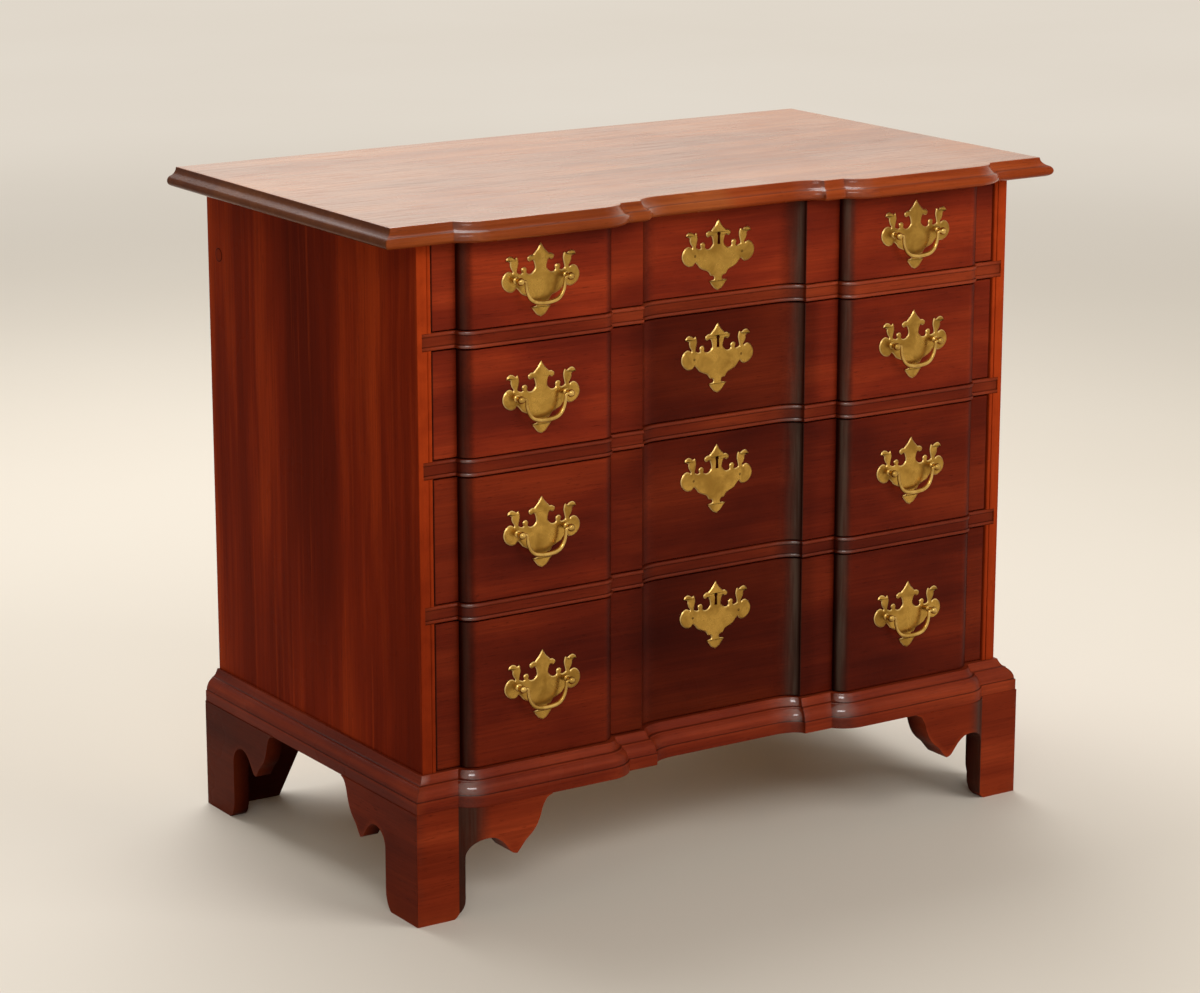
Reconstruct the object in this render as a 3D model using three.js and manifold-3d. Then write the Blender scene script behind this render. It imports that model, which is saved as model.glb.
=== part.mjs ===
// Four-drawer chest with a blocked front, in millimetres.
// +X is to the right as seen from the front, -Y is towards the front and +Z is up.
// The origin is on the floor, under the middle of the top board's outline.
import * as THREE from 'three';
import { mergeVertices } from 'three/addons/utils/BufferGeometryUtils.js';
import Module from 'manifold-3d';

const wasm = await Module();
wasm.setup();

// Heights, from the floor up. The drawer openings go from the top drawer down.
const footHeight = 131;
const baseHeight = 38;
const railHeight = 19.5;
const topThickness = 22;
const drawerOpenings = [99.5, 122.5, 143.5, 171];

// Plan of the top board and of the case under it
const topWidth = 914;
const topDepth = 526;
const sideOverhang = 51;
const frontOverhang = 25;
const blockProud = 16;
const recessDepth = 16;

// Blocking of the case. The raised blocks take what the strips and the hollow leave.
const boardThickness = 18;
const endStripWidth = 29;
const hollowWidth = 224;
const middleStripWidth = 45;
const shoulderRun = 20;
const coveRun = 32;
const cornerDriftShare = 0.35;

// Blocking of the top board, which is a little softer
const topHollowWidth = 264;
const topMiddleStripWidth = 30;
const topShoulderRun = 24;
const topCoveRun = 36;
const topCornerDriftShare = 0.5;

// Edge moulding of the top board: inset and height, from the underside up
const topEdgeReach = 12.75;
const topEdgeShares = [
  [0.47, 0], [0.2, 0.09], [0.05, 0.2], [0, 0.34], [0.05, 0.47],
  [0.2, 0.57], [0.43, 0.62], [0.75, 0.73], [0.94, 0.88], [1, 1],
];

// Base moulding: projection and height, from the underside up
const baseProjection = 19.6;
const baseEdgeShares = [
  [1, 0], [1, 0.35], [0.94, 0.37], [0.9, 0.45], [0.8, 0.54], [0.67, 0.66],
  [0.6, 0.71], [0.53, 0.73], [0.4, 0.78], [0.28, 0.87], [0.17, 0.96], [0.15, 1],
];

// Drawer dividers and the boards behind them
const railDepth = 40;
const railBeadHeight = 4.4;
const railFlatInset = 1.6;
const railBeadShares = [[0, 1], [0.22, 0.15], [0.5, 0], [0.78, 0.15], [1, 1]];
const railTongueWidth = 12;
const railTongueDepth = 12;
const dustBoardThickness = 12;
const bottomThickness = 18;
const backThickness = 8;

// Bead along the inner edge of each side board's front
const stileBeadWidth = 5;
const stileBeadInset = 1.4;
const stileBeadShares = [[1, 1], [0.88, 0.3], [0.6, 0], [0.25, 0.15], [0, 1], [-0.15, 0]];

// Bracket feet. The outline's places are shares of the lengths named beside them.
const footProud = 1;
const bracketThickness = 20;
const mitreGap = 0.4;
const frontPostWidth = 59;
const frontPendantReach = 120.5;
const frontBracketReach = 168;
const sidePostWidth = 70;
const sidePendantReach = 127;
const sideBracketReach = 170;
const postToeRun = 11;
const postToeShares = [[1, 0], [0.5, 0.04], [0.16, 0.1], [0, 0.19], [0, 0.52]];
const archShares = [
  [0.03, 0.61], [0.12, 0.67], [0.25, 0.705], [0.4, 0.717], [0.55, 0.705],
  [0.69, 0.66], [0.8, 0.6], [0.9, 0.545], [1, 0.53],
];
const ogeeShares = [
  [0.1, 0.57], [0.24, 0.63], [0.43, 0.69], [0.56, 0.75], [0.66, 0.83],
  [0.72, 0.9], [0.84, 0.97], [1, 1],
];
const braceThickness = 18;
const braceInset = 5;
const braceToe = 86;
const braceReach = 156;

// Drawers
const drawerInset = 2;
const frontThickness = 17;
const frontSideGap = 1.5;
const frontTopGap = 2;
const frontBottomGap = 1;
const runnerGap = 0.3;
const drawerWall = 12;
const drawerLength = 420;
const drawerSideDrop = 6;
const drawerBottomThickness = 6;
const drawerBottomLift = 8;

// Pulls and key plates, measured from the line through the posts
const plateWidth = 100;
const plateThickness = 1.6;
const plateRise = 39;
const plateFall = 43;
const postSpacing = 64;
const escutcheonDrop = 53;
const plateUpperShares = [
  [0, 1], [0.1, 0.8], [0.27, 0.66], [0.33, 0.57], [0.24, 0.51], [0.16, 0.42], [0.165, 0.24],
  [0.3, 0.14], [0.375, 0.2], [0.42, 0.35], [0.5, 0.28], [0.5, 0.17], [0.59, 0.21], [0.585, 0.58],
  [0.65, 0.63], [0.83, 0.69], [0.92, 0.55], [0.8, 0.47], [0.73, 0.23], [0.89, 0.26], [1, 0],
];
const plateLowerShares = [
  [0.96, 0.17], [0.8, 0.29], [0.63, 0.2], [0.5, 0.36], [0.26, 0.5], [0.2, 0.6], [0.11, 0.65],
  [0.24, 0.73], [0.12, 0.91], [0, 1],
];
const keyholeRadius = 2.6;
const keyholeWidth = 3.4;
const keyholeLift = 23;
const keyholeFall = 12;
const keyholeDepth = 12;

// Posts: a collar on the plate, a neck and a ball head, and a nut inside the drawer
const postHeadRadius = 4.4;
const postHeadStand = 9;
const postNeckRadius = 2.4;
const postCollarRadius = 3.8;
const postCollarHeight = 1.5;
const postShankRadius = 1.9;
const postHoleClearance = 0.4;
const nutRadius = 5;
const nutHeight = 4;

// Bails
const bailRadius = 1.7;
const bailDrop = 24.5;
const bailHalfWidth = 25.2;
const bailPinEntry = 2.2;
const bailPinClearance = 0.35;
const bailShares = [
  [1.01, 0.02], [0.985, 0.14], [0.97, 0.34], [0.91, 0.57], [0.79, 0.78], [0.57, 0.94], [0.3, 1],
];

// How far every cut runs past the piece that it cuts
const cutOverrun = 2;

// Smoothness of the curves
const arcSteps = 5;
const postSides = 6;
const bailQuarterSides = 3;
const bailSteps = 22;
const keyholeSteps = 6;

// Places worked out from the sizes
const sum = (values) => values.reduce((total, value) => total + value, 0);
const railCount = drawerOpenings.length - 1;
const baseTop = footHeight + baseHeight;
const caseTop = baseTop + sum(drawerOpenings) + railCount * railHeight;
const caseHalf = topWidth / 2 - sideOverhang;
const openingHalf = caseHalf - boardThickness;
const caseFront = -topDepth / 2 + blockProud + frontOverhang;
const caseBack = topDepth / 2;
const backPanelFront = caseBack - backThickness;
const railBack = caseFront + railDepth;
const drawerFrontBack = caseFront + recessDepth + drawerInset + frontThickness;

const blockPlan = (hollow, strip, shoulder, cove, driftShare) => {
  const outer = openingHalf - endStripWidth;
  const corner = hollow / 2;
  return { outer, inner: corner + strip, corner, shoulder, cove, driftShare };
};
const casePlan = blockPlan(hollowWidth, middleStripWidth, shoulderRun, coveRun, cornerDriftShare);
const topPlan = blockPlan(
  topHollowWidth, topMiddleStripWidth, topShoulderRun, topCoveRun, topCornerDriftShare);
const pullX = (casePlan.outer + casePlan.inner) / 2;

// Finishes
const woodFinish = (color) => new THREE.MeshStandardMaterial({ color, roughness: 0.32, metalness: 0 });
const sideWood = () => woodFinish(0x6e2413);
const frontWood = () => woodFinish(0x5c1c11);
const mouldingWood = () => woodFinish(0x7a2e18);
const topWood = () => woodFinish(0x8a4a30);
const hiddenWood = () => new THREE.MeshStandardMaterial({ color: 0xb99a6b, roughness: 0.7, metalness: 0 });
const brass = () => new THREE.MeshStandardMaterial({ color: 0xb8923c, roughness: 0.28, metalness: 1 });

const group = new THREE.Group();
const add = (name, geometry, material) => {
  const mesh = new THREE.Mesh(geometry, material);
  mesh.name = name;
  group.add(mesh);
  return mesh;
};

// Solids for joining and cutting
const toSolid = (geometry) => {
  const bare = geometry.clone();
  bare.deleteAttribute('normal');
  bare.deleteAttribute('uv');
  const merged = mergeVertices(bare);
  return new wasm.Manifold(new wasm.Mesh({
    numProp: 3,
    vertProperties: new Float32Array(merged.attributes.position.array),
    triVerts: new Uint32Array(merged.index.array),
  }));
};
const toGeometry = (solid) => {
  const mesh = solid.getMesh();
  const geometry = new THREE.BufferGeometry();
  geometry.setAttribute('position', new THREE.BufferAttribute(mesh.vertProperties, mesh.numProp));
  geometry.setIndex(new THREE.BufferAttribute(mesh.triVerts, 1));
  return geometry;
};

// The same skin on the other side of the middle plane
const mirrorX = (geometry) => {
  const mirrored = geometry.clone();
  mirrored.scale(-1, 1, 1);
  const faces = mirrored.index.array;
  for (let i = 0; i < faces.length; i += 3) {
    [faces[i], faces[i + 1]] = [faces[i + 1], faces[i]];
  }
  return mirrored;
};

// A box between two opposite corners
const boxBetween = (low, high) => {
  const geometry = new THREE.BoxGeometry(high[0] - low[0], high[1] - low[1], high[2] - low[2]);
  geometry.translate((low[0] + high[0]) / 2, (low[1] + high[1]) / 2, (low[2] + high[2]) / 2);
  return geometry;
};

// A closed skin over rings of equally many points, lowest ring first, each anticlockwise from above
const skinRings = (rings) => {
  const count = rings[0].length;
  const last = (rings.length - 1) * count;
  const faces = [];
  for (let level = 0; level + 1 < rings.length; level += 1) {
    for (let i = 0; i < count; i += 1) {
      const a = level * count + i;
      const b = level * count + (i + 1) % count;
      faces.push(a, b, b + count, a, b + count, a + count);
    }
  }
  const flat = (ring) => ring.map((point) => new THREE.Vector2(point[0], point[1]));
  for (const face of THREE.ShapeUtils.triangulateShape(flat(rings[0]), [])) {
    faces.push(face[0], face[2], face[1]);
  }
  for (const face of THREE.ShapeUtils.triangulateShape(flat(rings[rings.length - 1]), [])) {
    faces.push(last + face[0], last + face[1], last + face[2]);
  }
  const geometry = new THREE.BufferGeometry();
  geometry.setAttribute('position', new THREE.Float32BufferAttribute(rings.flat(2), 3));
  geometry.setIndex(faces);
  return geometry;
};
const ringAt = (outline, z) => outline.map(([x, y]) => [x, y, z]);

// A flat outline given a thickness along +Z
const slab = (outline, thickness, holes = []) => {
  const shape = new THREE.Shape(outline.map(([x, y]) => new THREE.Vector2(x, y)));
  for (const hole of holes) {
    shape.holes.push(new THREE.Path(hole.map(([x, y]) => new THREE.Vector2(x, y))));
  }
  return new THREE.ExtrudeGeometry(shape, { depth: thickness, bevelEnabled: false });
};

// An outline in X and Z, given a thickness from front to back
const uprightSlab = (outline, front, back, holes = []) => {
  const geometry = slab(outline, back - front, holes);
  geometry.rotateX(Math.PI / 2);
  geometry.translate(0, back, 0);
  return geometry;
};

// An outline in Y and Z, given a thickness from left to right
const crossSlab = (outline, left, right) => {
  const geometry = slab(outline, right - left);
  geometry.applyMatrix4(new THREE.Matrix4().set(0, 0, 1, left, 1, 0, 0, 0, 0, 1, 0, 0, 0, 0, 0, 1));
  return geometry;
};

// Right half of the blocked line, from the outer end inwards, pushed out by an offset.
// Each shoulder is a quarter ellipse that stands proud of the strips. The cove is one that
// falls back from the strip's corner to the hollow in the middle.
const halfBlockedLine = (plan, front, end, offset) => {
  const strip = front - offset;
  const rise = blockProud + offset;
  const run = plan.shoulder + offset;
  const start = Math.asin(offset / rise);
  const points = [[end, strip]];
  for (let i = 0; i <= arcSteps; i += 1) {
    const angle = start + (Math.PI / 2 - start) * i / arcSteps;
    points.push([plan.outer - plan.shoulder + run * Math.cos(angle), front - rise * Math.sin(angle)]);
  }
  for (let i = arcSteps; i >= 0; i -= 1) {
    const angle = start + (Math.PI / 2 - start) * i / arcSteps;
    points.push([plan.inner + plan.shoulder - run * Math.cos(angle), front - rise * Math.sin(angle)]);
  }
  const corner = plan.corner - plan.driftShare * offset;
  for (let i = arcSteps; i >= 0; i -= 1) {
    const angle = Math.PI / 2 * i / arcSteps;
    points.push([
      corner - plan.cove + plan.cove * Math.sin(angle),
      strip + recessDepth * Math.cos(angle),
    ]);
  }
  return points;
};

// The whole blocked line, from left to right
const blockedLine = (plan, front, end, offset) => {
  const right = halfBlockedLine(plan, front, end, offset);
  const left = right.map(([x, y]) => [-x, y]);
  return [...left, ...right.reverse()];
};

// Top board, with its edge moulding on the front and both ends
const topBoard = () => {
  const rings = topEdgeShares.map(([insetShare, heightShare]) => {
    const inset = insetShare * topEdgeReach;
    const end = caseHalf + sideOverhang - inset;
    const front = blockedLine(topPlan, caseFront, end, frontOverhang - inset);
    const outline = [...front, [end, caseBack], [-end, caseBack]];
    return ringAt(outline, caseTop + heightShare * topThickness);
  });
  add('top_board', skinRings(rings), topWood());
};

// Floor of each drawer's opening, and the underside of each divider, from the top down
const openingFloors = drawerOpenings.map((opening, index) => (
  caseTop - sum(drawerOpenings.slice(0, index + 1)) - index * railHeight));
const railBottoms = openingFloors.slice(0, railCount).map((floor) => floor - railHeight);

// Side boards: a bead along the inner front edge, and a housing for each divider's end
const sideBoards = () => {
  const beadStart = openingHalf + stileBeadWidth;
  const outline = [
    [caseHalf, caseFront],
    [caseHalf, caseBack],
    [openingHalf, caseBack],
    ...stileBeadShares.map(([widthShare, insetShare]) => [
      beadStart - widthShare * stileBeadWidth,
      caseFront + insetShare * stileBeadInset,
    ]),
  ];
  let board = toSolid(skinRings([ringAt(outline, footHeight), ringAt(outline, caseTop)]));
  for (const bottom of railBottoms) {
    board = board.subtract(toSolid(boxBetween(
      [openingHalf - cutOverrun, caseFront - cutOverrun, bottom],
      [openingHalf + railTongueWidth, caseFront + railTongueDepth, bottom + railHeight],
    )));
  }
  add('right_side', toGeometry(board), sideWood());
  add('left_side', mirrorX(toGeometry(board)), sideWood());
};

// Dividers: a bead along both edges and a flat between them, with a tongue in each side board
const rails = () => {
  const bead = railBeadShares.map(([heightShare, insetShare]) => [
    heightShare * railBeadHeight, insetShare * railFlatInset,
  ]);
  const profile = [
    ...bead,
    ...bead.map(([height, inset]) => [railHeight - railBeadHeight + height, inset]),
  ];
  const end = openingHalf + railTongueWidth;
  railBottoms.forEach((bottom, index) => {
    const rings = profile.map(([height, inset]) => ringAt([
      ...blockedLine(casePlan, caseFront, end, -inset),
      [end, caseFront + railTongueDepth],
      [openingHalf, caseFront + railTongueDepth],
      [openingHalf, railBack],
      [-openingHalf, railBack],
      [-openingHalf, caseFront + railTongueDepth],
      [-end, caseFront + railTongueDepth],
    ], bottom + height));
    add(`divider_${index + 1}`, skinRings(rings), mouldingWood());
    const top = bottom + railHeight;
    add(`dust_board_${index + 1}`, boxBetween(
      [-openingHalf, railBack, top - dustBoardThickness],
      [openingHalf, backPanelFront, top],
    ), hiddenWood());
  });
};

const caseBoards = () => {
  add('case_bottom', boxBetween(
    [-openingHalf, railBack, baseTop - bottomThickness],
    [openingHalf, backPanelFront, baseTop],
  ), hiddenWood());
  add('back_panel', boxBetween(
    [-openingHalf, backPanelFront, footHeight],
    [openingHalf, caseBack, caseTop],
  ), hiddenWood());
};

// Base moulding: the front piece follows the blocking, the side pieces meet it in mitres
const baseMoulding = () => {
  const profile = baseEdgeShares.map(([reachShare, heightShare]) => [
    reachShare * baseProjection, footHeight + heightShare * baseHeight,
  ]);
  const rings = profile.map(([offset, z]) => ringAt([
    ...blockedLine(casePlan, caseFront, caseHalf + offset - mitreGap / 2, offset),
    [caseHalf - mitreGap / 2, caseFront],
    [openingHalf, caseFront],
    [openingHalf, railBack],
    [-openingHalf, railBack],
    [-openingHalf, caseFront],
    [mitreGap / 2 - caseHalf, caseFront],
  ], z));
  add('base_moulding_front', skinRings(rings), mouldingWood());
  const sideRings = profile.map(([offset, z]) => ringAt([
    [caseHalf, caseFront + mitreGap / 2],
    [caseHalf + offset, caseFront - offset + mitreGap / 2],
    [caseHalf + offset, caseBack],
    [caseHalf, caseBack],
  ], z));
  add('base_moulding_right', skinRings(sideRings), mouldingWood());
  add('base_moulding_left', mirrorX(skinRings(sideRings)), mouldingWood());
};

// Elevation of a bracket foot: distance inwards from the foot's corner, and height
const bracketOutline = (post, pendant, reach) => [
  [0, 0],
  ...postToeShares.map(([runShare, heightShare]) => [
    post - runShare * postToeRun, heightShare * footHeight,
  ]),
  ...archShares.map(([runShare, heightShare]) => [
    post + runShare * (pendant - post), heightShare * footHeight,
  ]),
  ...ogeeShares.map(([runShare, heightShare]) => [
    pendant + runShare * (reach - pendant), heightShare * footHeight,
  ]),
  [0, footHeight],
];

// Feet. Those of the right-hand side are made, and mirrored for the left.
const feet = () => {
  const projection = baseProjection + footProud;
  const outside = caseHalf + projection;
  const inside = outside - bracketThickness;
  const front = caseFront - projection;
  const inner = front + bracketThickness;
  const halfGap = mitreGap / 2;

  const frontLine = halfBlockedLine(casePlan, caseFront, outside - halfGap, projection);
  const frontPlan = [...frontLine.reverse(), [inside - halfGap, inner], [0, inner]];
  const frontBlank = toSolid(skinRings([ringAt(frontPlan, 0), ringAt(frontPlan, footHeight)]));
  const frontOutline = bracketOutline(frontPostWidth, frontPendantReach, frontBracketReach)
    .map(([run, height]) => [outside - run, height]).reverse();
  const frontCutter = toSolid(uprightSlab(
    frontOutline, front - blockProud - cutOverrun, inner + cutOverrun));
  const frontFace = frontBlank.intersect(frontCutter);

  const sidePlan = [
    [outside, front + halfGap],
    [outside, caseBack],
    [inside, caseBack],
    [inside, inner + halfGap],
  ];
  const sideBlank = toSolid(skinRings([ringAt(sidePlan, 0), ringAt(sidePlan, footHeight)]));
  const sideShape = bracketOutline(sidePostWidth, sidePendantReach, sideBracketReach);
  const frontSide = sideBlank.intersect(toSolid(crossSlab(
    sideShape.map(([run, height]) => [front + run, height]),
    inside - cutOverrun,
    outside + cutOverrun,
  )));

  const rearSide = toSolid(crossSlab(
    sideShape.map(([run, height]) => [caseBack - run, height]).reverse(), inside, outside));
  const brace = toSolid(uprightSlab([
    [outside - braceToe, 0],
    [inside, 0],
    [inside, footHeight],
    [outside - braceReach, footHeight],
  ], caseBack - braceInset - braceThickness, caseBack - braceInset));
  const rear = rearSide.add(brace);

  const pieces = {
    front_foot_face: frontFace,
    front_foot_side: frontSide,
    rear_foot: rear,
  };
  for (const [name, solid] of Object.entries(pieces)) {
    add(`right_${name}`, toGeometry(solid), mouldingWood());
    add(`left_${name}`, mirrorX(toGeometry(solid)), mouldingWood());
  }
};

// Outline of the brass plates, round from the top point
const plateOutline = () => {
  const half = plateWidth / 2;
  const right = [
    ...plateUpperShares.map(([widthShare, riseShare]) => [widthShare * half, riseShare * plateRise]),
    ...plateLowerShares.map(([widthShare, fallShare]) => [widthShare * half, -fallShare * plateFall]),
  ];
  const left = right.slice(1, -1).map(([x, z]) => [-x, z]);
  return [...right, ...left.reverse()];
};

// Keyhole: a round eye over a straight slot, above the line of the posts
const keyholeOutline = () => {
  const slot = keyholeWidth / 2;
  const start = Math.asin(slot / keyholeRadius);
  const points = [];
  for (let i = 0; i <= keyholeSteps; i += 1) {
    const angle = -Math.PI / 2 + start + (2 * Math.PI - 2 * start) * i / keyholeSteps;
    points.push([
      keyholeRadius * Math.cos(angle),
      keyholeLift + keyholeRadius * Math.sin(angle),
    ]);
  }
  points.push([-slot, keyholeLift - keyholeFall], [slot, keyholeLift - keyholeFall]);
  return points;
};

// A solid of revolution whose axis runs from front to back. Heights grow towards the front.
const turned = (profile, x, y, z) => {
  const geometry = new THREE.LatheGeometry(
    profile.map(([radius, height]) => new THREE.Vector2(radius, height)), postSides);
  geometry.rotateX(Math.PI);
  geometry.translate(x, y, z);
  return geometry;
};

// A post: a nut against the drawer front's back face, a shank through it, and a ball head
const postSolid = (x, plateFace, z) => {
  const back = plateFace - drawerFrontBack;
  const ballLow = postHeadStand - postHeadRadius * Math.cos(Math.asin(postNeckRadius / postHeadRadius));
  const shape = [
    [0, back - nutHeight],
    [nutRadius, back - nutHeight],
    [nutRadius, back],
    [postShankRadius, back],
    [postShankRadius, -plateThickness / 2],
    [postCollarRadius, -plateThickness / 2],
    [postCollarRadius, postCollarHeight],
    [postNeckRadius, postCollarHeight],
    [postNeckRadius, ballLow],
    [postHeadRadius, postHeadStand],
    [postHeadRadius * Math.SQRT1_2, postHeadStand + postHeadRadius * Math.SQRT1_2],
    [0, postHeadStand + postHeadRadius],
  ];
  return toSolid(turned(shape, x, plateFace, z));
};

// A round hole or pin along X
const crossPin = (radius, x0, x1, y, z) => {
  const geometry = new THREE.CylinderGeometry(radius, radius, x1 - x0, postSides);
  geometry.rotateZ(Math.PI / 2);
  geometry.translate((x0 + x1) / 2, y, z);
  return toSolid(geometry);
};

// A pull's backplate with its two posts
const pullPlate = (x, plateFace, z) => {
  const outline = plateOutline().map(([dx, dz]) => [x + dx, z + dz]);
  let solid = toSolid(uprightSlab(outline, plateFace, plateFace + plateThickness));
  for (const side of [-1, 1]) {
    const postX = x + side * postSpacing / 2;
    const bore = bailRadius + bailPinClearance;
    const innerFace = postX - side * (postHeadRadius + cutOverrun);
    const blindEnd = postX - side * (postHeadRadius - bailPinEntry - bailPinClearance);
    const hole = crossPin(
      bore, Math.min(innerFace, blindEnd), Math.max(innerFace, blindEnd), plateFace - postHeadStand, z);
    solid = solid.add(postSolid(postX, plateFace, z).subtract(hole));
  }
  return solid;
};

// A bail: pins pointing outwards into the posts, and a grip that hangs between them
const bailGeometry = (x, y, z) => {
  const pinEnd = postSpacing / 2 - postHeadRadius + bailPinEntry;
  const right = [
    [pinEnd, 0],
    [(pinEnd + bailHalfWidth) / 2, 0],
    ...bailShares.map(([widthShare, dropShare]) => [widthShare * bailHalfWidth, -dropShare * bailDrop]),
  ];
  const left = right.map(([dx, dz]) => [-dx, dz]);
  const path = new THREE.CatmullRomCurve3(
    [...left, ...right.reverse()].map(([dx, dz]) => new THREE.Vector3(dx, 0, dz)));
  const section = new THREE.Shape();
  section.absarc(0, 0, bailRadius, 0, 2 * Math.PI);
  const geometry = new THREE.ExtrudeGeometry(section, {
    steps: bailSteps, curveSegments: bailQuarterSides, bevelEnabled: false, extrudePath: path,
  });
  geometry.translate(x, y, z);
  return geometry;
};

// One drawer with its hardware
const drawer = (index) => {
  const name = `drawer_${index + 1}`;
  const opening = drawerOpenings[index];
  const floor = openingFloors[index];
  const ceiling = floor + opening;
  const frontHalf = openingHalf - frontSideGap;
  const frontLow = floor + frontBottomGap;
  const frontHigh = ceiling - frontTopGap;
  const postLine = floor + opening / 2;
  const keyLine = ceiling - escutcheonDrop;
  const blockFace = caseFront + drawerInset - blockProud;
  const recessFace = caseFront + drawerInset + recessDepth;

  const outline = [
    ...blockedLine(casePlan, caseFront, frontHalf, -drawerInset),
    [frontHalf, drawerFrontBack],
    [-frontHalf, drawerFrontBack],
  ];
  let front = toSolid(skinRings([ringAt(outline, frontLow), ringAt(outline, frontHigh)]));
  for (const block of [-1, 1]) {
    for (const side of [-1, 1]) {
      const hole = new THREE.CylinderGeometry(
        postShankRadius + postHoleClearance, postShankRadius + postHoleClearance,
        drawerFrontBack - blockFace + 2 * cutOverrun, postSides);
      hole.translate(block * pullX + side * postSpacing / 2, (drawerFrontBack + blockFace) / 2, postLine);
      front = front.subtract(toSolid(hole));
    }
  }
  const keyhole = keyholeOutline().map(([x, z]) => [x, keyLine + z]);
  front = front.subtract(toSolid(uprightSlab(
    keyhole, recessFace - cutOverrun, recessFace + keyholeDepth)));
  add(`${name}_front`, toGeometry(front), frontWood());

  const sideLow = floor + runnerGap;
  const sideHigh = frontHigh - drawerSideDrop;
  const sideBack = drawerFrontBack + drawerLength;
  const inside = frontHalf - drawerWall;
  add(`${name}_left_side`, boxBetween(
    [-frontHalf, drawerFrontBack, sideLow], [-inside, sideBack, sideHigh]), hiddenWood());
  add(`${name}_right_side`, boxBetween(
    [inside, drawerFrontBack, sideLow], [frontHalf, sideBack, sideHigh]), hiddenWood());
  const bottomLow = sideLow + drawerBottomLift;
  const bottomHigh = bottomLow + drawerBottomThickness;
  add(`${name}_bottom`, boxBetween(
    [-inside, drawerFrontBack, bottomLow], [inside, sideBack, bottomHigh]), hiddenWood());
  add(`${name}_back`, boxBetween(
    [-inside, sideBack - drawerWall, bottomHigh], [inside, sideBack, sideHigh]), hiddenWood());

  const plateFace = blockFace - plateThickness;
  const sides = { left: -pullX, right: pullX };
  for (const [side, x] of Object.entries(sides)) {
    add(`${name}_${side}_pull_plate`, toGeometry(pullPlate(x, plateFace, postLine)), brass());
    add(`${name}_${side}_bail`, bailGeometry(x, plateFace - postHeadStand, postLine), brass());
  }
  const keyPlate = plateOutline().map(([x, z]) => [x, keyLine + z]);
  add(`${name}_key_plate`, uprightSlab(
    keyPlate, recessFace - plateThickness, recessFace, [keyhole]), brass());
};

topBoard();
sideBoards();
rails();
caseBoards();
baseMoulding();
feet();
drawerOpenings.forEach((opening, index) => drawer(index));

export default group;
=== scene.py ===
"""A four-drawer chest with a blocked front, dressed for its picture.

All lengths are in metres, apart from small outlines that are multiplied by MM. +X is to the
right as seen from the front, -Y is towards the front, and the floor is at zero height.
"""
import logging
import math
from dataclasses import dataclass, field
from enum import Enum

import bmesh
import bpy
import numpy as np
from mathutils.geometry import tessellate_polygon
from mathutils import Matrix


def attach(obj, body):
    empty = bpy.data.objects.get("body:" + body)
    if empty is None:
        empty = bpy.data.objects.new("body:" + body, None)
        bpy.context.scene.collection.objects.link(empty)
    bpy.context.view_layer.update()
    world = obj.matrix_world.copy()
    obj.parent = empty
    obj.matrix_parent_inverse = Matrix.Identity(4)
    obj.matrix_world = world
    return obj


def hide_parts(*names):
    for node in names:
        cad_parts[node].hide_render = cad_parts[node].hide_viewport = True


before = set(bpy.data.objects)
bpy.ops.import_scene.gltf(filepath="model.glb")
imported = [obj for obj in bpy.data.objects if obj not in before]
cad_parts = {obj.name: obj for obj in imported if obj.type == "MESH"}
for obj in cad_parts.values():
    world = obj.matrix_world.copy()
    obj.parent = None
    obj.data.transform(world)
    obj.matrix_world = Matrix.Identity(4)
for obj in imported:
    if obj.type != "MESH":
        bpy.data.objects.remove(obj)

log = logging.getLogger("chest")

MM = 0.001
TINY = 1e-9
MERGE_DISTANCE = 2e-6
Colour = tuple[float, float, float, float]
Triple = tuple[float, float, float]
Pairs = tuple[tuple[float, float], ...]


# Meshes


def curve_through(points: np.ndarray, per_span: int) -> np.ndarray:
    """A smooth line through points: each span is a cubic whose end slopes are half the step
    between the neighbours on both sides, with the end points' neighbours mirrored.

    Args:
        points: n by k places.
        per_span: new points in each span.

    Returns:
        ((n - 1) * per_span + 1) by k places.
    """
    first = 2 * points[:1] - points[1:2]
    last = 2 * points[-1:] - points[-2:-1]
    full = np.concatenate([first, points, last])
    four = (full[:-3], full[1:-2], full[2:-1], full[3:])
    before, start, end, after = (part[:, None, :] for part in four)
    t = (np.arange(per_span) / per_span)[None, :, None]
    square = 2 * before - 5 * start + 4 * end - after
    cube = 3 * start - before - 3 * end + after
    spans = 0.5 * (2 * start + (end - before) * t + square * t**2 + cube * t**3)
    return np.concatenate([spans.reshape(-1, points.shape[1]), points[-1:]])


def curve_with_corners(points: np.ndarray, corners: list[int], per_span: int) -> np.ndarray:
    """Smooth lines through points, broken at the corner points so that those stay sharp.

    Args:
        points: n by k places.
        corners: indices of the sharp points between the ends.
        per_span: new points in each span.

    Returns:
        The joined line.
    """
    stops = [0, *corners, len(points) - 1]
    runs = [
        curve_through(points[start:end + 1], per_span)
        for start, end in zip(stops[:-1], stops[1:])
    ]
    return np.concatenate([run[:-1] for run in runs] + [points[-1:]])


def grid_quads(rows: int, columns: int, wrap: bool) -> np.ndarray:
    """Quads of a grid. With rows going up and columns anticlockwise from above, they face out.

    Args:
        rows: number of rows.
        columns: number of points in a row.
        wrap: whether each row is closed.

    Returns:
        m by 4 vertex numbers.
    """
    row = np.arange(rows - 1)[:, None] * columns
    here = np.arange(columns if wrap else columns - 1)[None, :]
    there = (here + 1) % columns
    left, right = row + here, row + there
    return np.stack([left, right, right + columns, left + columns], axis=-1).reshape(-1, 4)


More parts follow.
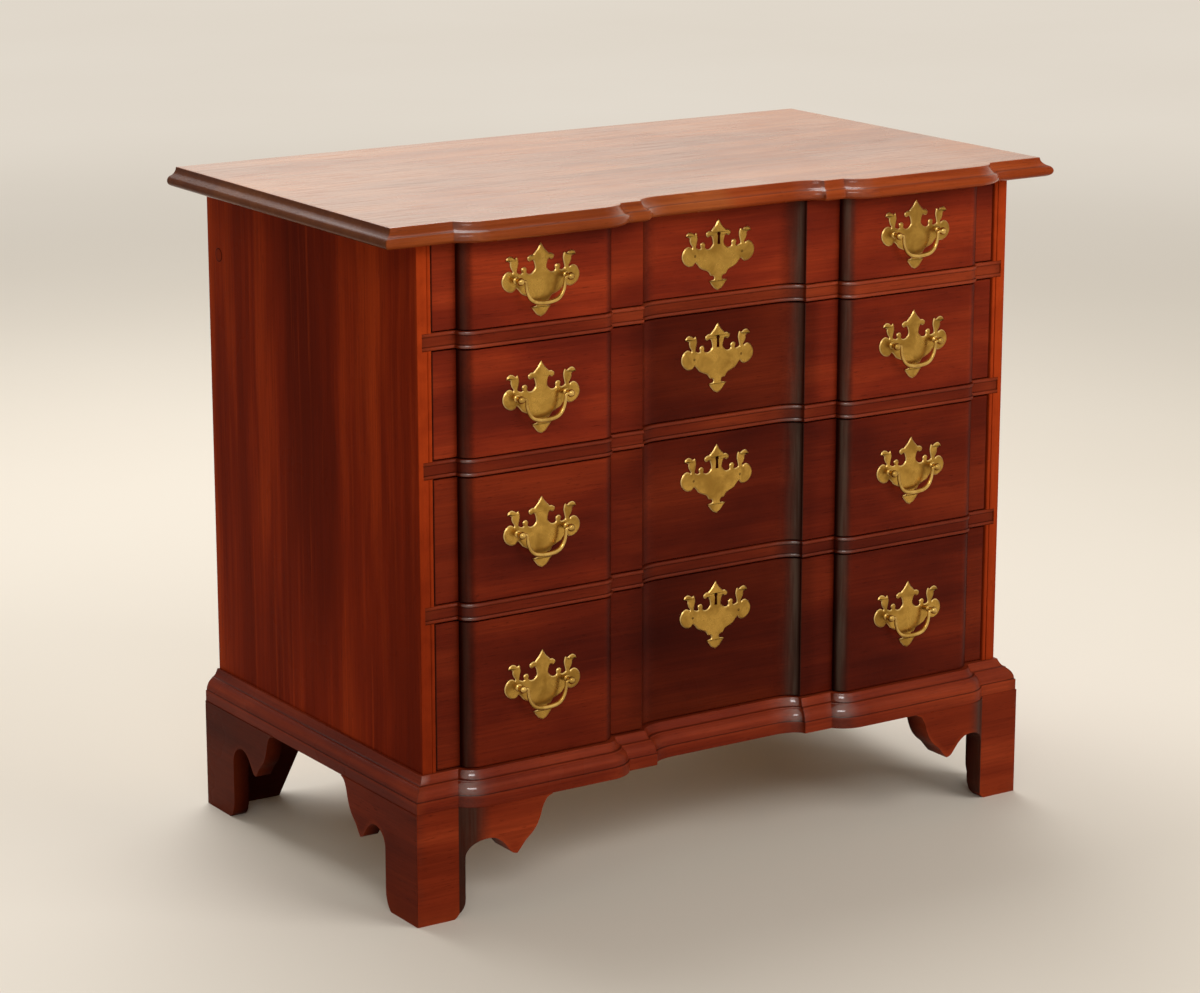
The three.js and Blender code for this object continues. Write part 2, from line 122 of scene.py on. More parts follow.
@dataclass
class Surface:
    """Vertices, faces and named values at each vertex, such as how worn or shaded it is."""

    points: np.ndarray
    faces: list[list[int]]
    marks: dict[str, np.ndarray] = field(default_factory=dict)

    @classmethod
    def skin(
        cls, rings: np.ndarray, lid: np.ndarray | None = None, **marks: np.ndarray
    ) -> "Surface":
        """A closed skin over rings, with a flat lid at both ends.

        Args:
            rings: rows by points by 3 places, lowest row first and anticlockwise from above.
            lid: triangles of the lid, by point number, where one face doesn't fill it well.
            marks: values at the points, as rows by points or in a shape that spreads to it.

        Returns:
            The surface.
        """
        rows, count = rings.shape[:2]
        faces = grid_quads(rows, count, True).tolist()
        if lid is None:
            lid = np.arange(count)[None, :]
        faces.extend(lid[:, ::-1].tolist())
        faces.extend((lid + (rows - 1) * count).tolist())
        shape = (rows, count)
        flat = {key: np.broadcast_to(part, shape).reshape(-1) for key, part in marks.items()}
        return cls(rings.reshape(-1, 3), faces, flat)

    def mirrored(self) -> "Surface":
        """The same surface on the other side of the middle plane, still facing out."""
        return Surface(self.points * (-1, 1, 1), [face[::-1] for face in self.faces], self.marks)

    def pair(self) -> tuple[tuple[str, "Surface"], ...]:
        """The surface for the right side and its mirror image for the left one."""
        return (("right", self), ("left", self.mirrored()))

    def build(self, name: str, sharp: float = 35.0) -> bpy.types.Object:
        """Makes the object, with doubled points merged and edges sharp past an angle.

        Args:
            name: the object's name.
            sharp: the angle in degrees.

        Returns:
            The new object, linked to the scene.
        """
        mesh = bpy.data.meshes.new(name)
        mesh.from_pydata(self.points.tolist(), [], self.faces)
        for label, values in self.marks.items():
            layer = mesh.attributes.new(label, "FLOAT", "POINT")
            layer.data.foreach_set("value", values.astype(np.float32))
        work = bmesh.new()
        work.from_mesh(mesh)
        bmesh.ops.remove_doubles(work, verts=work.verts, dist=MERGE_DISTANCE)
        bmesh.ops.dissolve_degenerate(work, edges=work.edges, dist=MERGE_DISTANCE)
        work.to_mesh(mesh)
        work.free()
        mesh.shade_smooth()
        mesh.set_sharp_from_angle(angle=math.radians(sharp))
        piece = bpy.data.objects.new(name, mesh)
        bpy.context.scene.collection.objects.link(piece)
        return piece


def lid_triangles(outlines: list[np.ndarray]) -> np.ndarray:
    """Triangles that fill a flat outline around its holes, all anticlockwise.

    Args:
        outlines: n by 2 places each, the outer one first.

    Returns:
        m by 3 point numbers, counted through all outlines.
    """
    loops = [[(x, z, 0.0) for x, z in line] for line in outlines]
    points = np.concatenate(outlines)
    faces = np.array(tessellate_polygon(loops))
    corner = points[faces[:, 0]]
    first, second = points[faces[:, 1]] - corner, points[faces[:, 2]] - corner
    area = first[:, 0] * second[:, 1] - first[:, 1] * second[:, 0]
    faces[area < 0] = faces[area < 0][:, ::-1]
    return faces


def prism(outline: np.ndarray, front: float, back: float) -> Surface:
    """A flat outline in X and Z, given a thickness along Y.

    Args:
        outline: n by 2 places, anticlockwise as seen from the front.
        front: the front face's Y.
        back: the back face's Y.

    Returns:
        The surface.
    """
    x, z = outline[:, 0], outline[:, 1]
    rings = np.stack([np.stack([x, np.full_like(x, y), z], axis=-1) for y in (back, front)])
    return Surface.skin(rings)


def cut_out(piece: bpy.types.Object, cutter: Surface, sharp: float = 30.0) -> None:
    """Cuts a shape out of a piece for good.

    Args:
        piece: the object that is cut.
        cutter: the shape that is taken away.
        sharp: the angle in degrees past which the edges are sharp afterwards.
    """
    tool = cutter.build("cutter")
    cut = piece.modifiers.new("cut", "BOOLEAN")
    cut.operation = "DIFFERENCE"
    cut.solver = "EXACT"
    cut.object = tool
    after_cut = piece.evaluated_get(bpy.context.evaluated_depsgraph_get())
    result = bpy.data.meshes.new_from_object(after_cut)
    piece.modifiers.clear()
    result.shade_smooth()
    result.set_sharp_from_angle(angle=math.radians(sharp))
    piece.data = result
    bpy.data.objects.remove(tool)


# Shaders


class Socket:
    """A number, colour or vector inside a material, that Python sums can be written with."""

    def __init__(self, shader: "Shader", socket: bpy.types.NodeSocket) -> None:
        """Keeps the socket and the shader that it is in."""
        self.shader = shader
        self.socket = socket

    def _math(self, operation: str, *values: "Socket | float") -> "Socket":
        """A Math node.

        Args:
            operation: the node's operation.
            values: its inputs, in order.

        Returns:
            The node's output.
        """
        inputs = dict(enumerate(values))
        return self.shader.node("ShaderNodeMath", {"operation": operation}, inputs)

    def __add__(self, other: "Socket | float") -> "Socket":
        """The sum."""
        return self._math("ADD", self, other)

    def __sub__(self, other: "Socket | float") -> "Socket":
        """The difference."""
        return self._math("SUBTRACT", self, other)

    def __rsub__(self, other: float) -> "Socket":
        """The difference from a plain number."""
        return self._math("SUBTRACT", other, self)

    def __mul__(self, other: "Socket | float") -> "Socket":
        """The product."""
        return self._math("MULTIPLY", self, other)

    __radd__ = __add__
    __rmul__ = __mul__

    def spread(
        self, low: float, high: float, new_low: float = 0.0, new_high: float = 1.0
    ) -> "Socket":
        """This value taken from one range to another, smoothly and held inside it.

        Args:
            low: value that becomes new_low.
            high: value that becomes new_high.
            new_low: result at and under low.
            new_high: result at and over high.

        Returns:
            The new value.
        """
        ends = {"From Min": low, "From Max": high, "To Min": new_low, "To Max": new_high}
        settings = {"interpolation_type": "SMOOTHSTEP"}
        return self.shader.node("ShaderNodeMapRange", settings, {"Value": self, **ends})


class Shader:
    """A material that is being put together."""

    def __init__(
        self, name: str, shift: Triple = (0.0, 0.0, 0.0), tree: bpy.types.NodeTree | None = None
    ) -> None:
        """Starts an empty material, or empties the node tree that is given.

        Args:
            name: the material's name.
            shift: how far its patterns are moved along each axis.
            tree: a node tree that exists, such as the world's.
        """
        self.material = None
        self.shift = shift
        if tree is None:
            self.material = bpy.data.materials.new(name)
            self.material.use_nodes = True
            tree = self.material.node_tree
        self.tree = tree
        self.tree.nodes.clear()

    def node(
        self, kind: str, settings: dict, inputs: dict, output: int | str = 0
    ) -> Socket | None:
        """Adds a node.

        Args:
            kind: the node's type.
            settings: its settings, with a ramp's stops under stops.
            inputs: values or sockets for its inputs, by name or number.
            output: which output is wanted.

        Returns:
            That output, or None where the node has none.
        """
        made = self.tree.nodes.new(kind)
        for key, value in settings.items():
            if key == "stops":
                ramp = made.color_ramp
                while len(ramp.elements) < len(value):
                    ramp.elements.new(0.5)
                for element, (position, colour) in zip(ramp.elements, value):
                    element.position = position
                    element.color = colour
            else:
                setattr(made, key, value)
        for key, value in inputs.items():
            if isinstance(value, Socket):
                self.tree.links.new(value.socket, made.inputs[key])
            else:
                made.inputs[key].default_value = value
        return Socket(self, made.outputs[output]) if len(made.outputs) else None

    def noise(
        self, scale: Triple | float, detail: float = 3.0, rough: float = 0.5, twist: float = 0.0,
        sway: float = 0.0,
    ) -> Socket:
        """Soft noise from 0 to 1, read at the point's place on the object.

        Args:
            scale: how fine it is along each axis, or along all of them.
            detail: octaves.
            rough: strength of the finer octaves.
            twist: distortion.
            sway: how far slow noise bends the place first.

        Returns:
            The noise value.
        """
        if isinstance(scale, float):
            scale = (scale, scale, scale)
        here = self.node("ShaderNodeTexCoord", {}, {}, "Object")
        if sway:
            slow = {"Vector": here, "Scale": 2.6, "Detail": 2.0}
            bend = self.node("ShaderNodeTexNoise", {}, slow, "Color")
            bent = {0: bend, 1: (sway, sway, sway), 2: here}
            here = self.node("ShaderNodeVectorMath", {"operation": "MULTIPLY_ADD"}, bent)
        moved = {"Vector": here, "Scale": scale, "Location": self.shift}
        place = self.node("ShaderNodeMapping", {}, moved)
        inputs = {"Vector": place, "Scale": 1.0, "Detail": detail, "Roughness": rough}
        return self.node("ShaderNodeTexNoise", {}, {**inputs, "Distortion": twist}, "Fac")

    def mix(
        self, factor: Socket | float, first: Socket | Colour, second: Socket | Colour,
        how: str = "MIX",
    ) -> Socket:
        """Two colours blended.

        Args:
            factor: share of the second.
            first: first colour.
            second: second colour.
            how: the blend.

        Returns:
            The colour.
        """
        # A Mix node's colours are its inputs 6 and 7 and its output 2.
        settings = {"data_type": "RGBA", "blend_type": how}
        return self.node("ShaderNodeMix", settings, {0: factor, 6: first, 7: second}, 2)

    def ramp(self, factor: Socket, stops: list[tuple[float, Colour]]) -> Socket:
        """A colour picked along a row of stops by factor."""
        return self.node("ShaderNodeValToRGB", {"stops": stops}, {"Fac": factor}, "Color")

    def seen(self) -> Socket:
        """Tells rays that are looked along from those that only light the scene.

        Returns:
            One where the camera or a mirroring surface looks, else zero.
        """
        rays = ("Is Camera Ray", "Is Glossy Ray")
        looks = [self.node("ShaderNodeLightPath", {}, {}, ray) for ray in rays]
        return self.node("ShaderNodeMath", {"operation": "MAXIMUM"}, dict(enumerate(looks)))

    def layer(self, label: str) -> Socket:
        """A value that the mesh carries at its vertices."""
        return self.node("ShaderNodeAttribute", {"attribute_name": label}, {}, "Fac")

    def bump(self, height: Socket, distance: float, strength: float) -> Socket:
        """A normal that follows a height."""
        inputs = {"Height": height, "Distance": distance, "Strength": strength}
        return self.node("ShaderNodeBump", {}, inputs)

    def finish(self, inputs: dict) -> bpy.types.Material:
        """Closes the material with a Principled surface.

        Args:
            inputs: the surface's inputs, by name.

        Returns:
            The material.
        """
        surface = self.node("ShaderNodeBsdfPrincipled", {}, inputs, "BSDF")
        self.node("ShaderNodeOutputMaterial", {}, {"Surface": surface})
        return self.material


# Finishes


def srgb(red: int, green: int, blue: int) -> Colour:
    """A screen colour as linear light: the display curve's power taken off.

    Args:
        red: red from 0 to 255.
        green: green from 0 to 255.
        blue: blue from 0 to 255.

    Returns:
        The colour, opaque.
    """
    parts = [part / 255 for part in (red, green, blue)]
    linear = [
        part / 12.92 if part <= 0.04045 else ((part + 0.055) / 1.055) ** 2.4 for part in parts
    ]
    return (*linear, 1.0)


def dimmed(colour: Colour, share: float) -> Colour:
    """A colour with its light taken down to a share."""
    return (*(c * share for c in colour[:3]), 1.0)


class Grain(Enum):
    """Which way the wood's fibres run."""

    ALONG_X = 0
    ALONG_Y = 1
    ALONG_Z = 2

    def stretch(self, along: float, across: float) -> tuple[float, float, float]:
        """A scale for each axis, coarse along the fibres and fine across them."""
        return tuple(along if axis == self.value else across for axis in range(3))


@dataclass(frozen=True)
class Mahogany:
    """Red-brown polished wood: broad bands, cloudy figure, thin light streaks, fine fibres, short
    dark pores and a clear coat. Crests are rubbed lighter. The shade mark paints shade into
    hollows, grooves and turned faces and also darkens end grain and joints; the painted sheen mark
    paints a grey reflection, in the haze colour, over shoulders.

    A field that ends in run is how fine a pattern is along the fibres and across them."""

    name: str
    grain: Grain
    dark: Colour
    middle: Colour
    light: Colour
    shift: float = 0.0
    band_width: float = 0.045
    cloud_size: float = 0.12
    cloud_share: float = 0.5
    streak: float = 0.3
    sway: float = 0.03
    gloss_rough: float = 0.3
    specular: float = 0.12
    coat: float = 0.9
    coat_rough: float = 0.16
    coat_ior: float = 1.5
    # haze is the colour of the painted sheen: a grey reflection painted over shoulders that face
    # left.
    haze: Colour = srgb(98, 84, 72)
    redness: Colour = (1.0, 0.62, 0.5, 1.0)
    streak_run: tuple[float, float] = (2.2, 130.0)
    fibre_run: tuple[float, float] = (9.0, 420.0)
    pore_run: tuple[float, float] = (70.0, 900.0)
    polish_run: tuple[float, float] = (14.0, 330.0)
    sheen_scale: Triple = (170.0, 170.0, 11.0)

    def material(self) -> bpy.types.Material:
        """Puts the material together.

        Returns:
            The material.
        """
        shader = Shader(self.name, (self.shift, self.shift * 1.7, self.shift * 2.3))
        run = self.grain.stretch
        bands = shader.noise(run(0.1 / self.band_width, 1 / self.band_width), sway=self.sway)
        clouds = shader.noise(run(0.45 / self.cloud_size, 1 / self.cloud_size), sway=self.sway)
        streaks = shader.noise(run(*self.streak_run), detail=2.0, sway=self.sway * 0.6)
        fibre = shader.noise(run(*self.fibre_run), rough=0.6)
        pore = shader.noise(run(*self.pore_run), detail=2.0).spread(0.62, 0.72)
        banded = bands.spread(0.3, 0.7) * (1 - self.cloud_share)
        figure = banded + clouds.spread(0.3, 0.7) * self.cloud_share
        base = shader.ramp(figure, [(0.05, self.dark), (0.5, self.middle), (0.95, self.light)])
        base = shader.mix(streaks.spread(0.55, 0.75) * self.streak, base, self.light)
        base = shader.mix(streaks.spread(0.45, 0.25) * self.streak, base, self.dark)
        base = shader.mix(fibre.spread(0.3, 0.7, 0.0, 0.3), base, dimmed(self.dark, 0.6))
        base = shader.mix(pore * 0.4, base, dimmed(self.dark, 0.3))
        rubbed = shader.noise(60.0).spread(0.25, 0.75, 0.55, 1.0)
        base = shader.mix(shader.layer("wear") * rubbed, base, self.light)
        # Painted shade: the shade mark darkens hollows, grooves, turned faces and faces out of the
        # light, as well as dark end grain and joints.
        base = shader.mix(shader.layer("shade"), base, dimmed(self.dark, 0.12))
        # Painted reflection: a grey sheen is mixed in where the painted sheen mark is set.
        haze = shader.noise(self.sheen_scale, rough=0.6).spread(0.35, 0.65, 0.25, 0.55)
        base = shader.mix(shader.layer("bloom") * haze, base, self.haze)
        base = shader.mix(shader.layer("red"), base, self.redness, "MULTIPLY")
        rough = shader.noise(7.0).spread(0.3, 0.7, self.gloss_rough - 0.05, self.gloss_rough + 0.07)
        lines = shader.noise(run(*self.polish_run), rough=0.6, sway=0.01).spread(0.48, 0.68)
        return shader.finish({
            "Base Color": base,
            "Roughness": rough + pore * 0.1,
            "Specular IOR Level": self.specular,
            "Coat Weight": shader.layer("gloss") * self.coat * (1.0 - lines * 0.35),
            "Coat Roughness": self.coat_rough,
            "Coat IOR": self.coat_ior,
            "Normal": shader.bump(fibre * 0.35 - pore * 0.6, distance=0.00012, strength=0.6),
        })


@dataclass(frozen=True)
class PlainWood:
    """Unpolished pale wood for the boards that are hidden until a drawer is opened: soft rings,
    a few darker lines and a dry surface."""

    name: str
    grain: Grain
    light: Colour = srgb(196, 160, 112)
    dark: Colour = srgb(142, 102, 62)

    def material(self) -> bpy.types.Material:
        """Puts the material together.

        Returns:
            The material.
        """
        shader = Shader(self.name)
        rings = shader.noise(self.grain.stretch(1.3, 34.0), rough=0.55, twist=0.6)
        fibre = shader.noise(self.grain.stretch(14.0, 500.0), detail=2.0)
        grime = shader.noise(5.0, detail=4.0, rough=0.6)
        late = dimmed(self.light, 0.85)
        base = shader.ramp(rings, [(0.25, self.dark), (0.5, self.light), (0.75, late)])
        base = shader.mix(fibre.spread(0.35, 0.7, 0.0, 0.3), base, dimmed(self.dark, 0.7))
        base = shader.mix(grime.spread(0.5, 0.75, 0.0, 0.4), base, dimmed(self.dark, 0.6))
        return shader.finish({
            "Base Color": base,
            "Roughness": fibre.spread(0.2, 0.8, 0.55, 0.75),
            "Normal": shader.bump(rings * 0.3 + fibre * 0.5, distance=0.0003, strength=0.6),
        })


@dataclass(frozen=True)
class AgedBrass:
    """Polished brass gone mellow: a satin face with fine rubbing marks and cloudy tarnish."""

    name: str
    bright: Colour = srgb(184, 143, 67)
    mellow: Colour = srgb(150, 112, 47)
    rubbed: Colour = srgb(236, 204, 136)
    rough: float = 0.3
    shift: float = 0.0

    def material(self) -> bpy.types.Material:
        """Puts the material together.

        Returns:
            The material.
        """
        shader = Shader(self.name, (self.shift, self.shift, self.shift))
        cloud = shader.noise(45.0, detail=4.0, rough=0.6, twist=0.5)
        rub = shader.noise((300.0, 300.0, 2600.0), detail=2.0)
        dent = shader.noise(90.0, detail=2.0)
        base = shader.mix(cloud.spread(0.35, 0.7), self.bright, self.mellow)
        base = shader.mix(shader.layer("wear") * 0.8, base, self.rubbed)
        base = shader.mix(shader.layer("shade") * 0.8, base, dimmed(self.mellow, 0.2))
        return shader.finish({
            "Base Color": base,
            "Metallic": 1.0,
            "Roughness": cloud.spread(0.3, 0.7, self.rough - 0.06, self.rough + 0.1),
            "Normal": shader.bump(dent * 0.8 + rub * 0.08, distance=0.0005, strength=0.35),
        })


TOP_WOOD = Mahogany(
    "mahogany_top", Grain.ALONG_X, srgb(128, 60, 26), srgb(152, 78, 36), srgb(178, 102, 52),
    band_width=0.03, streak=0.6, gloss_rough=0.25, specular=0.03, coat=1.0,
)
SIDE_WOOD = Mahogany(
    "mahogany_side", Grain.ALONG_Z, srgb(94, 25, 9), srgb(126, 37, 13), srgb(168, 60, 21),
    band_width=0.06, cloud_size=0.3, cloud_share=0.35, streak=0.35, sway=0.03, specular=0.006,
)
PLATE_BRASS = AgedBrass("aged_brass")
PULL_BRASS = AgedBrass(
    "rubbed_brass", srgb(208, 170, 96), srgb(168, 130, 62), rough=0.18, shift=2.0,
)


def moulding_wood(grain: Grain) -> Mahogany:
    """The dark red wood of the rails and the base moulding.

    Args:
        grain: which way its fibres run.

    Returns:
        The finish.
    """
    return Mahogany(
        f"mahogany_moulding_{grain.name.lower()}", grain,
        srgb(84, 25, 13), srgb(112, 37, 18), srgb(146, 57, 28),
        shift=3.1, streak=0.15, specular=0.03, coat_rough=0.12, coat_ior=1.9,
    )


def foot_wood(grain: Grain, tint: float) -> Mahogany:
    """The feet's wood, with its light taken down to a tint.

    Args:
        grain: which way its fibres run.
        tint: the share of its light that stays.

    Returns:
        The finish.
    """
    tones = (srgb(96, 30, 14), srgb(124, 43, 20), srgb(152, 60, 29))
    dim = (dimmed(tone, tint) for tone in tones)
    name = f"mahogany_feet_{grain.name.lower()}"
    return Mahogany(name, grain, *dim, shift=5.3, streak=0.15, specular=0.02)


def drawer_wood(number: int, tint: float) -> Mahogany:
    """A drawer front's wood, with its own stretch of the figure.

    Args:
        number: the drawer's number.
        tint: the share of its light that stays.

    Returns:
        The finish.
    """
    tones = (srgb(98, 29, 17), srgb(132, 42, 21), srgb(166, 60, 28))
    dim = (dimmed(tone, tint) for tone in tones)
    return Mahogany(
        f"mahogany_drawer_{number}", Grain.ALONG_X, *dim, shift=1.7 * number,
        band_width=0.05, cloud_size=0.1, cloud_share=0.6, streak=0.18, sway=0.06, specular=0.03,
    )


# Plans and profiles


@dataclass(frozen=True)
class Case:
    """The case's driving sizes, which its pieces are worked out from.

    The feet end at low, the lowest drawer's opening starts at floor, and the top board's
    underside is at high. A rail's tongue is how deep it is let into the side boards."""

    half: float = 0.406
    inner: float = 0.388
    front: float = -0.222
    back: float = 0.263
    low: float = 0.131
    floor: float = 0.169
    high: float = 0.764
    rail_lows: tuple[float, ...] = (0.340, 0.503, 0.645)
    rail_height: float = 0.0195
    rail_back: float = -0.182
    tongue: float = 0.012
    mitre_gap: float = 0.0002

    @property
    def openings(self) -> list[tuple[float, float]]:
        """The bottom and top of each drawer's opening, from the top one down."""
        lows = [self.floor, *(low + self.rail_height for low in self.rail_lows)]
        return list(zip(lows, [*self.rail_lows, self.high]))[::-1]


CASE = Case()


@dataclass(frozen=True)
class BlockPlan:
    """The blocked line in plan: end strip, raised block, middle strip and hollow.

    Each shoulder is a quarter ellipse that stands proud of the strips. The cove is one that
    falls back from the strip's corner to the hollow in the middle."""

    front: float = CASE.front
    outer: float = 0.359
    inner: float = 0.157
    corner: float = 0.112
    shoulder: float = 0.020
    cove: float = 0.032
    proud: float = 0.016
    recess: float = 0.016
    drift: float = 0.35
    edge: float = 0.0006
    curve_points: int = 22
    strip_points: int = 5
    block_points: int = 12
    hollow_points: int = 9

    def right_half(self, offset: np.ndarray, end: np.ndarray | float) -> np.ndarray:
        """The line from the outer end to the middle, pushed out by an offset.

        With run = shoulder + offset and rise = proud + offset, a shoulder's points are
        (centre + run cos a, front - rise sin a), for a from asin(offset / rise) to a quarter
        turn. The cove's are (corner - cove + cove sin b, strip + recess cos b).

        Args:
            offset: one offset a row.
            end: one outer end a row, or one for all.

        Returns:
            rows by points by 2 places.
        """
        end = np.broadcast_to(end, offset.shape)[:, None]
        offset = offset[:, None]
        run, rise = self.shoulder + offset, self.proud + offset
        strip = self.front - offset
        t = np.linspace(0, 1, self.curve_points)[None, :]
        start = np.arcsin(offset / rise)
        angle = start + (math.pi / 2 - start) * t
        corner = self.corner - self.drift * offset
        outer_x = self.outer - self.shoulder + run * np.cos(angle)
        inner_x = self.inner + self.shoulder - run * np.cos(angle)
        shoulder_y = self.front - rise * np.sin(angle)
        strip_t = np.linspace(0, 1, self.strip_points)[None, :-1]
        block_t = np.linspace(0, 1, self.block_points)[None, 1:-1]
        hollow_t = np.linspace(0, 1, self.hollow_points)[None, 1:]
        cove_angle = (math.pi / 2 * (1 - t))[:, 1:]
        blank = np.zeros_like(offset)

        def piece(x: np.ndarray, y: np.ndarray) -> np.ndarray:
            """Two coordinates as places, one a point in each row."""
            width = np.broadcast_shapes(x.shape, y.shape)
            return np.stack([np.broadcast_to(x, width), np.broadcast_to(y, width)], axis=-1)

        return np.concatenate([
            piece(end + (outer_x[:, :1] - end) * strip_t, strip + blank),
            piece(outer_x, shoulder_y),
            piece(outer_x[:, -1:] + (inner_x[:, -1:] - outer_x[:, -1:]) * block_t,
                  shoulder_y[:, -1:]),
            piece(inner_x, shoulder_y)[:, ::-1],
            piece(inner_x[:, :1] + (corner + self.edge - inner_x[:, :1]) * strip_t[:, 1:],
                  strip + blank),
            piece(corner + self.edge, strip + blank),
            piece(corner, strip + self.edge),
            piece(corner - self.cove + self.cove * np.sin(cove_angle),
                  strip + self.recess * np.cos(cove_angle)),
            piece((corner - self.cove) * (1 - hollow_t), strip + self.recess),
        ], axis=1)

    def line(self, offset: np.ndarray, end: np.ndarray | float) -> np.ndarray:
        """The whole line from left to right: the right half and its mirror image.

        Args:
            offset: one offset a row.
            end: one outer end a row, or one for all.

        Returns:
            rows by points by 2 places.
        """
        right = self.right_half(offset, end)
        left = right * (-1, 1)
        return np.concatenate([left, right[:, -2::-1]], axis=1)


CASE_PLAN = BlockPlan()
TOP_PLAN = BlockPlan(inner=0.162, corner=0.132, shoulder=0.024, cove=0.036, drift=0.5)

# A thin band round a lid keeps the marks of the edge from running across the lid.
LID_RIM = 0.0006
LID_SHADE = 0.25

# Painted shade on a shoulder and a cove by how far they turn away, and how strong the painted grey
# sheen is by its X.
SHOULDER_SHADE: Pairs = ((0.1, 0.0), (0.25, 0.5), (0.6, 0.78), (0.9, 0.95))
COVE_SHADE: Pairs = ((0.02, 0.0), (0.2, 0.5), (0.5, 0.8), (0.9, 0.95))
PAINTED_SHEEN_ACROSS: Pairs = ((-0.3, 0.25), (-0.1, 1.0))


def at_heights(plan: np.ndarray, heights: np.ndarray) -> np.ndarray:
    """Rows of places in plan, each lifted to its height."""
    z = np.broadcast_to(heights[:, None, None], (*plan.shape[:2], 1))
    return np.concatenate([plan, z], axis=-1)


def row_points(rows: int, *places: tuple[np.ndarray | float, np.ndarray | float]) -> np.ndarray:
    """Points that every row of a plan has.

    Args:
        rows: number of rows.
        places: the X and Y of each point, as one for all rows or one a row.

    Returns:
        rows by points by 2 places.
    """
    points = [[np.broadcast_to(part, rows) for part in place] for place in places]
    return np.moveaxis(np.array(points), 2, 0)


def bell(
    value: np.ndarray, middle: np.ndarray | float, width: float, strength: float = 1.0
) -> np.ndarray:
    """A soft peak: strength times e to the power of minus the squared distance in widths.

    Args:
        value: where it is read.
        middle: where the peak is.
        width: distance at which it has sunk to about a third.
        strength: its height.

    Returns:
        The peak's height at each value.
    """
    return np.exp(-((value - middle) / width) ** 2) * strength


def graded(value: np.ndarray, steps: Pairs) -> np.ndarray:
    """Strengths that run in straight stretches through pairs of a value and a strength."""
    return np.interp(value, *zip(*steps))


def turned_away(plan: np.ndarray) -> np.ndarray:
    """How far the line turns away from the front: the angle of the step between a point's
    neighbours.

    Args:
        plan: rows by points by 2 places.

    Returns:
        0 where the line faces the front, up to 1 at a quarter turn.
    """
    step = np.roll(plan, -1, axis=1) - np.roll(plan, 1, axis=1)
    length = np.maximum(np.hypot(step[..., 0], step[..., 1]), TINY)
    return np.arccos(np.clip(np.abs(step[..., 0]) / length, 0, 1)) / (math.pi / 2)


def shoulder_marks(
    plan: np.ndarray, strength: float, gloss: float | np.ndarray = 0.0, shine: float = 0.0
) -> dict[str, np.ndarray]:
    """Marks for the rounded shoulders: painted shade that deepens as they turn away from the front,
    and a painted grey sheen, a reflection, half way on those that face left, faint on the
    outermost one.

    Args:
        plan: rows by points by 2 places, going right.
        strength: strength of the shading.
        gloss: clear coat that is there all along the line.
        shine: clear coat on the shoulders that face left.

    Returns:
        The painted shade, painted sheen and gloss marks.
    """
    away = turned_away(plan)
    leftward = np.roll(plan, -1, axis=1)[..., 1] < np.roll(plan, 1, axis=1)[..., 1]
    convex, hollow = graded(away, SHOULDER_SHADE), graded(away, COVE_SHADE)
    shade = np.where(np.abs(plan[..., 0]) < CASE_PLAN.corner, hollow, convex) * strength
    bloom = bell(away, 0.5, 0.22) * strength * leftward
    bloom *= graded(plan[..., 0], PAINTED_SHEEN_ACROSS)
    lit = bell(away, 0.4, 0.25) * leftward * shine
    return {"shade": shade, "bloom": bloom, "gloss": lit + gloss}


def plain_lids(marks: dict[str, np.ndarray]) -> None:
    """Gives the first and last rows an even finish, so that the lids have no smears.

    Args:
        marks: the marks, as rows by points, which are changed in place.
    """
    for label, values in marks.items():
        values[[0, -1]] = LID_SHADE if label == "shade" else 0.0


# The chest


class Slot(Enum):
    """Names of the record's material slots."""

    TOP = "top_wood"
    SIDE = "side_wood"
    MOULDING = "moulding_wood"
    DRAWER = "drawer_wood"
    BRASS = "brass"


def dress(piece: bpy.types.Object, material: bpy.types.Material, body: str) -> None:
    """Gives a piece its material and its body, and reports it.

    Args:
        piece: the new piece.
        material: its finish.
        body: the body that it rides on.
    """
    piece.data.materials.clear()
    piece.data.materials.append(material)
    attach(piece, body)
    log.info("%s: %d faces", piece.name, len(piece.data.polygons))


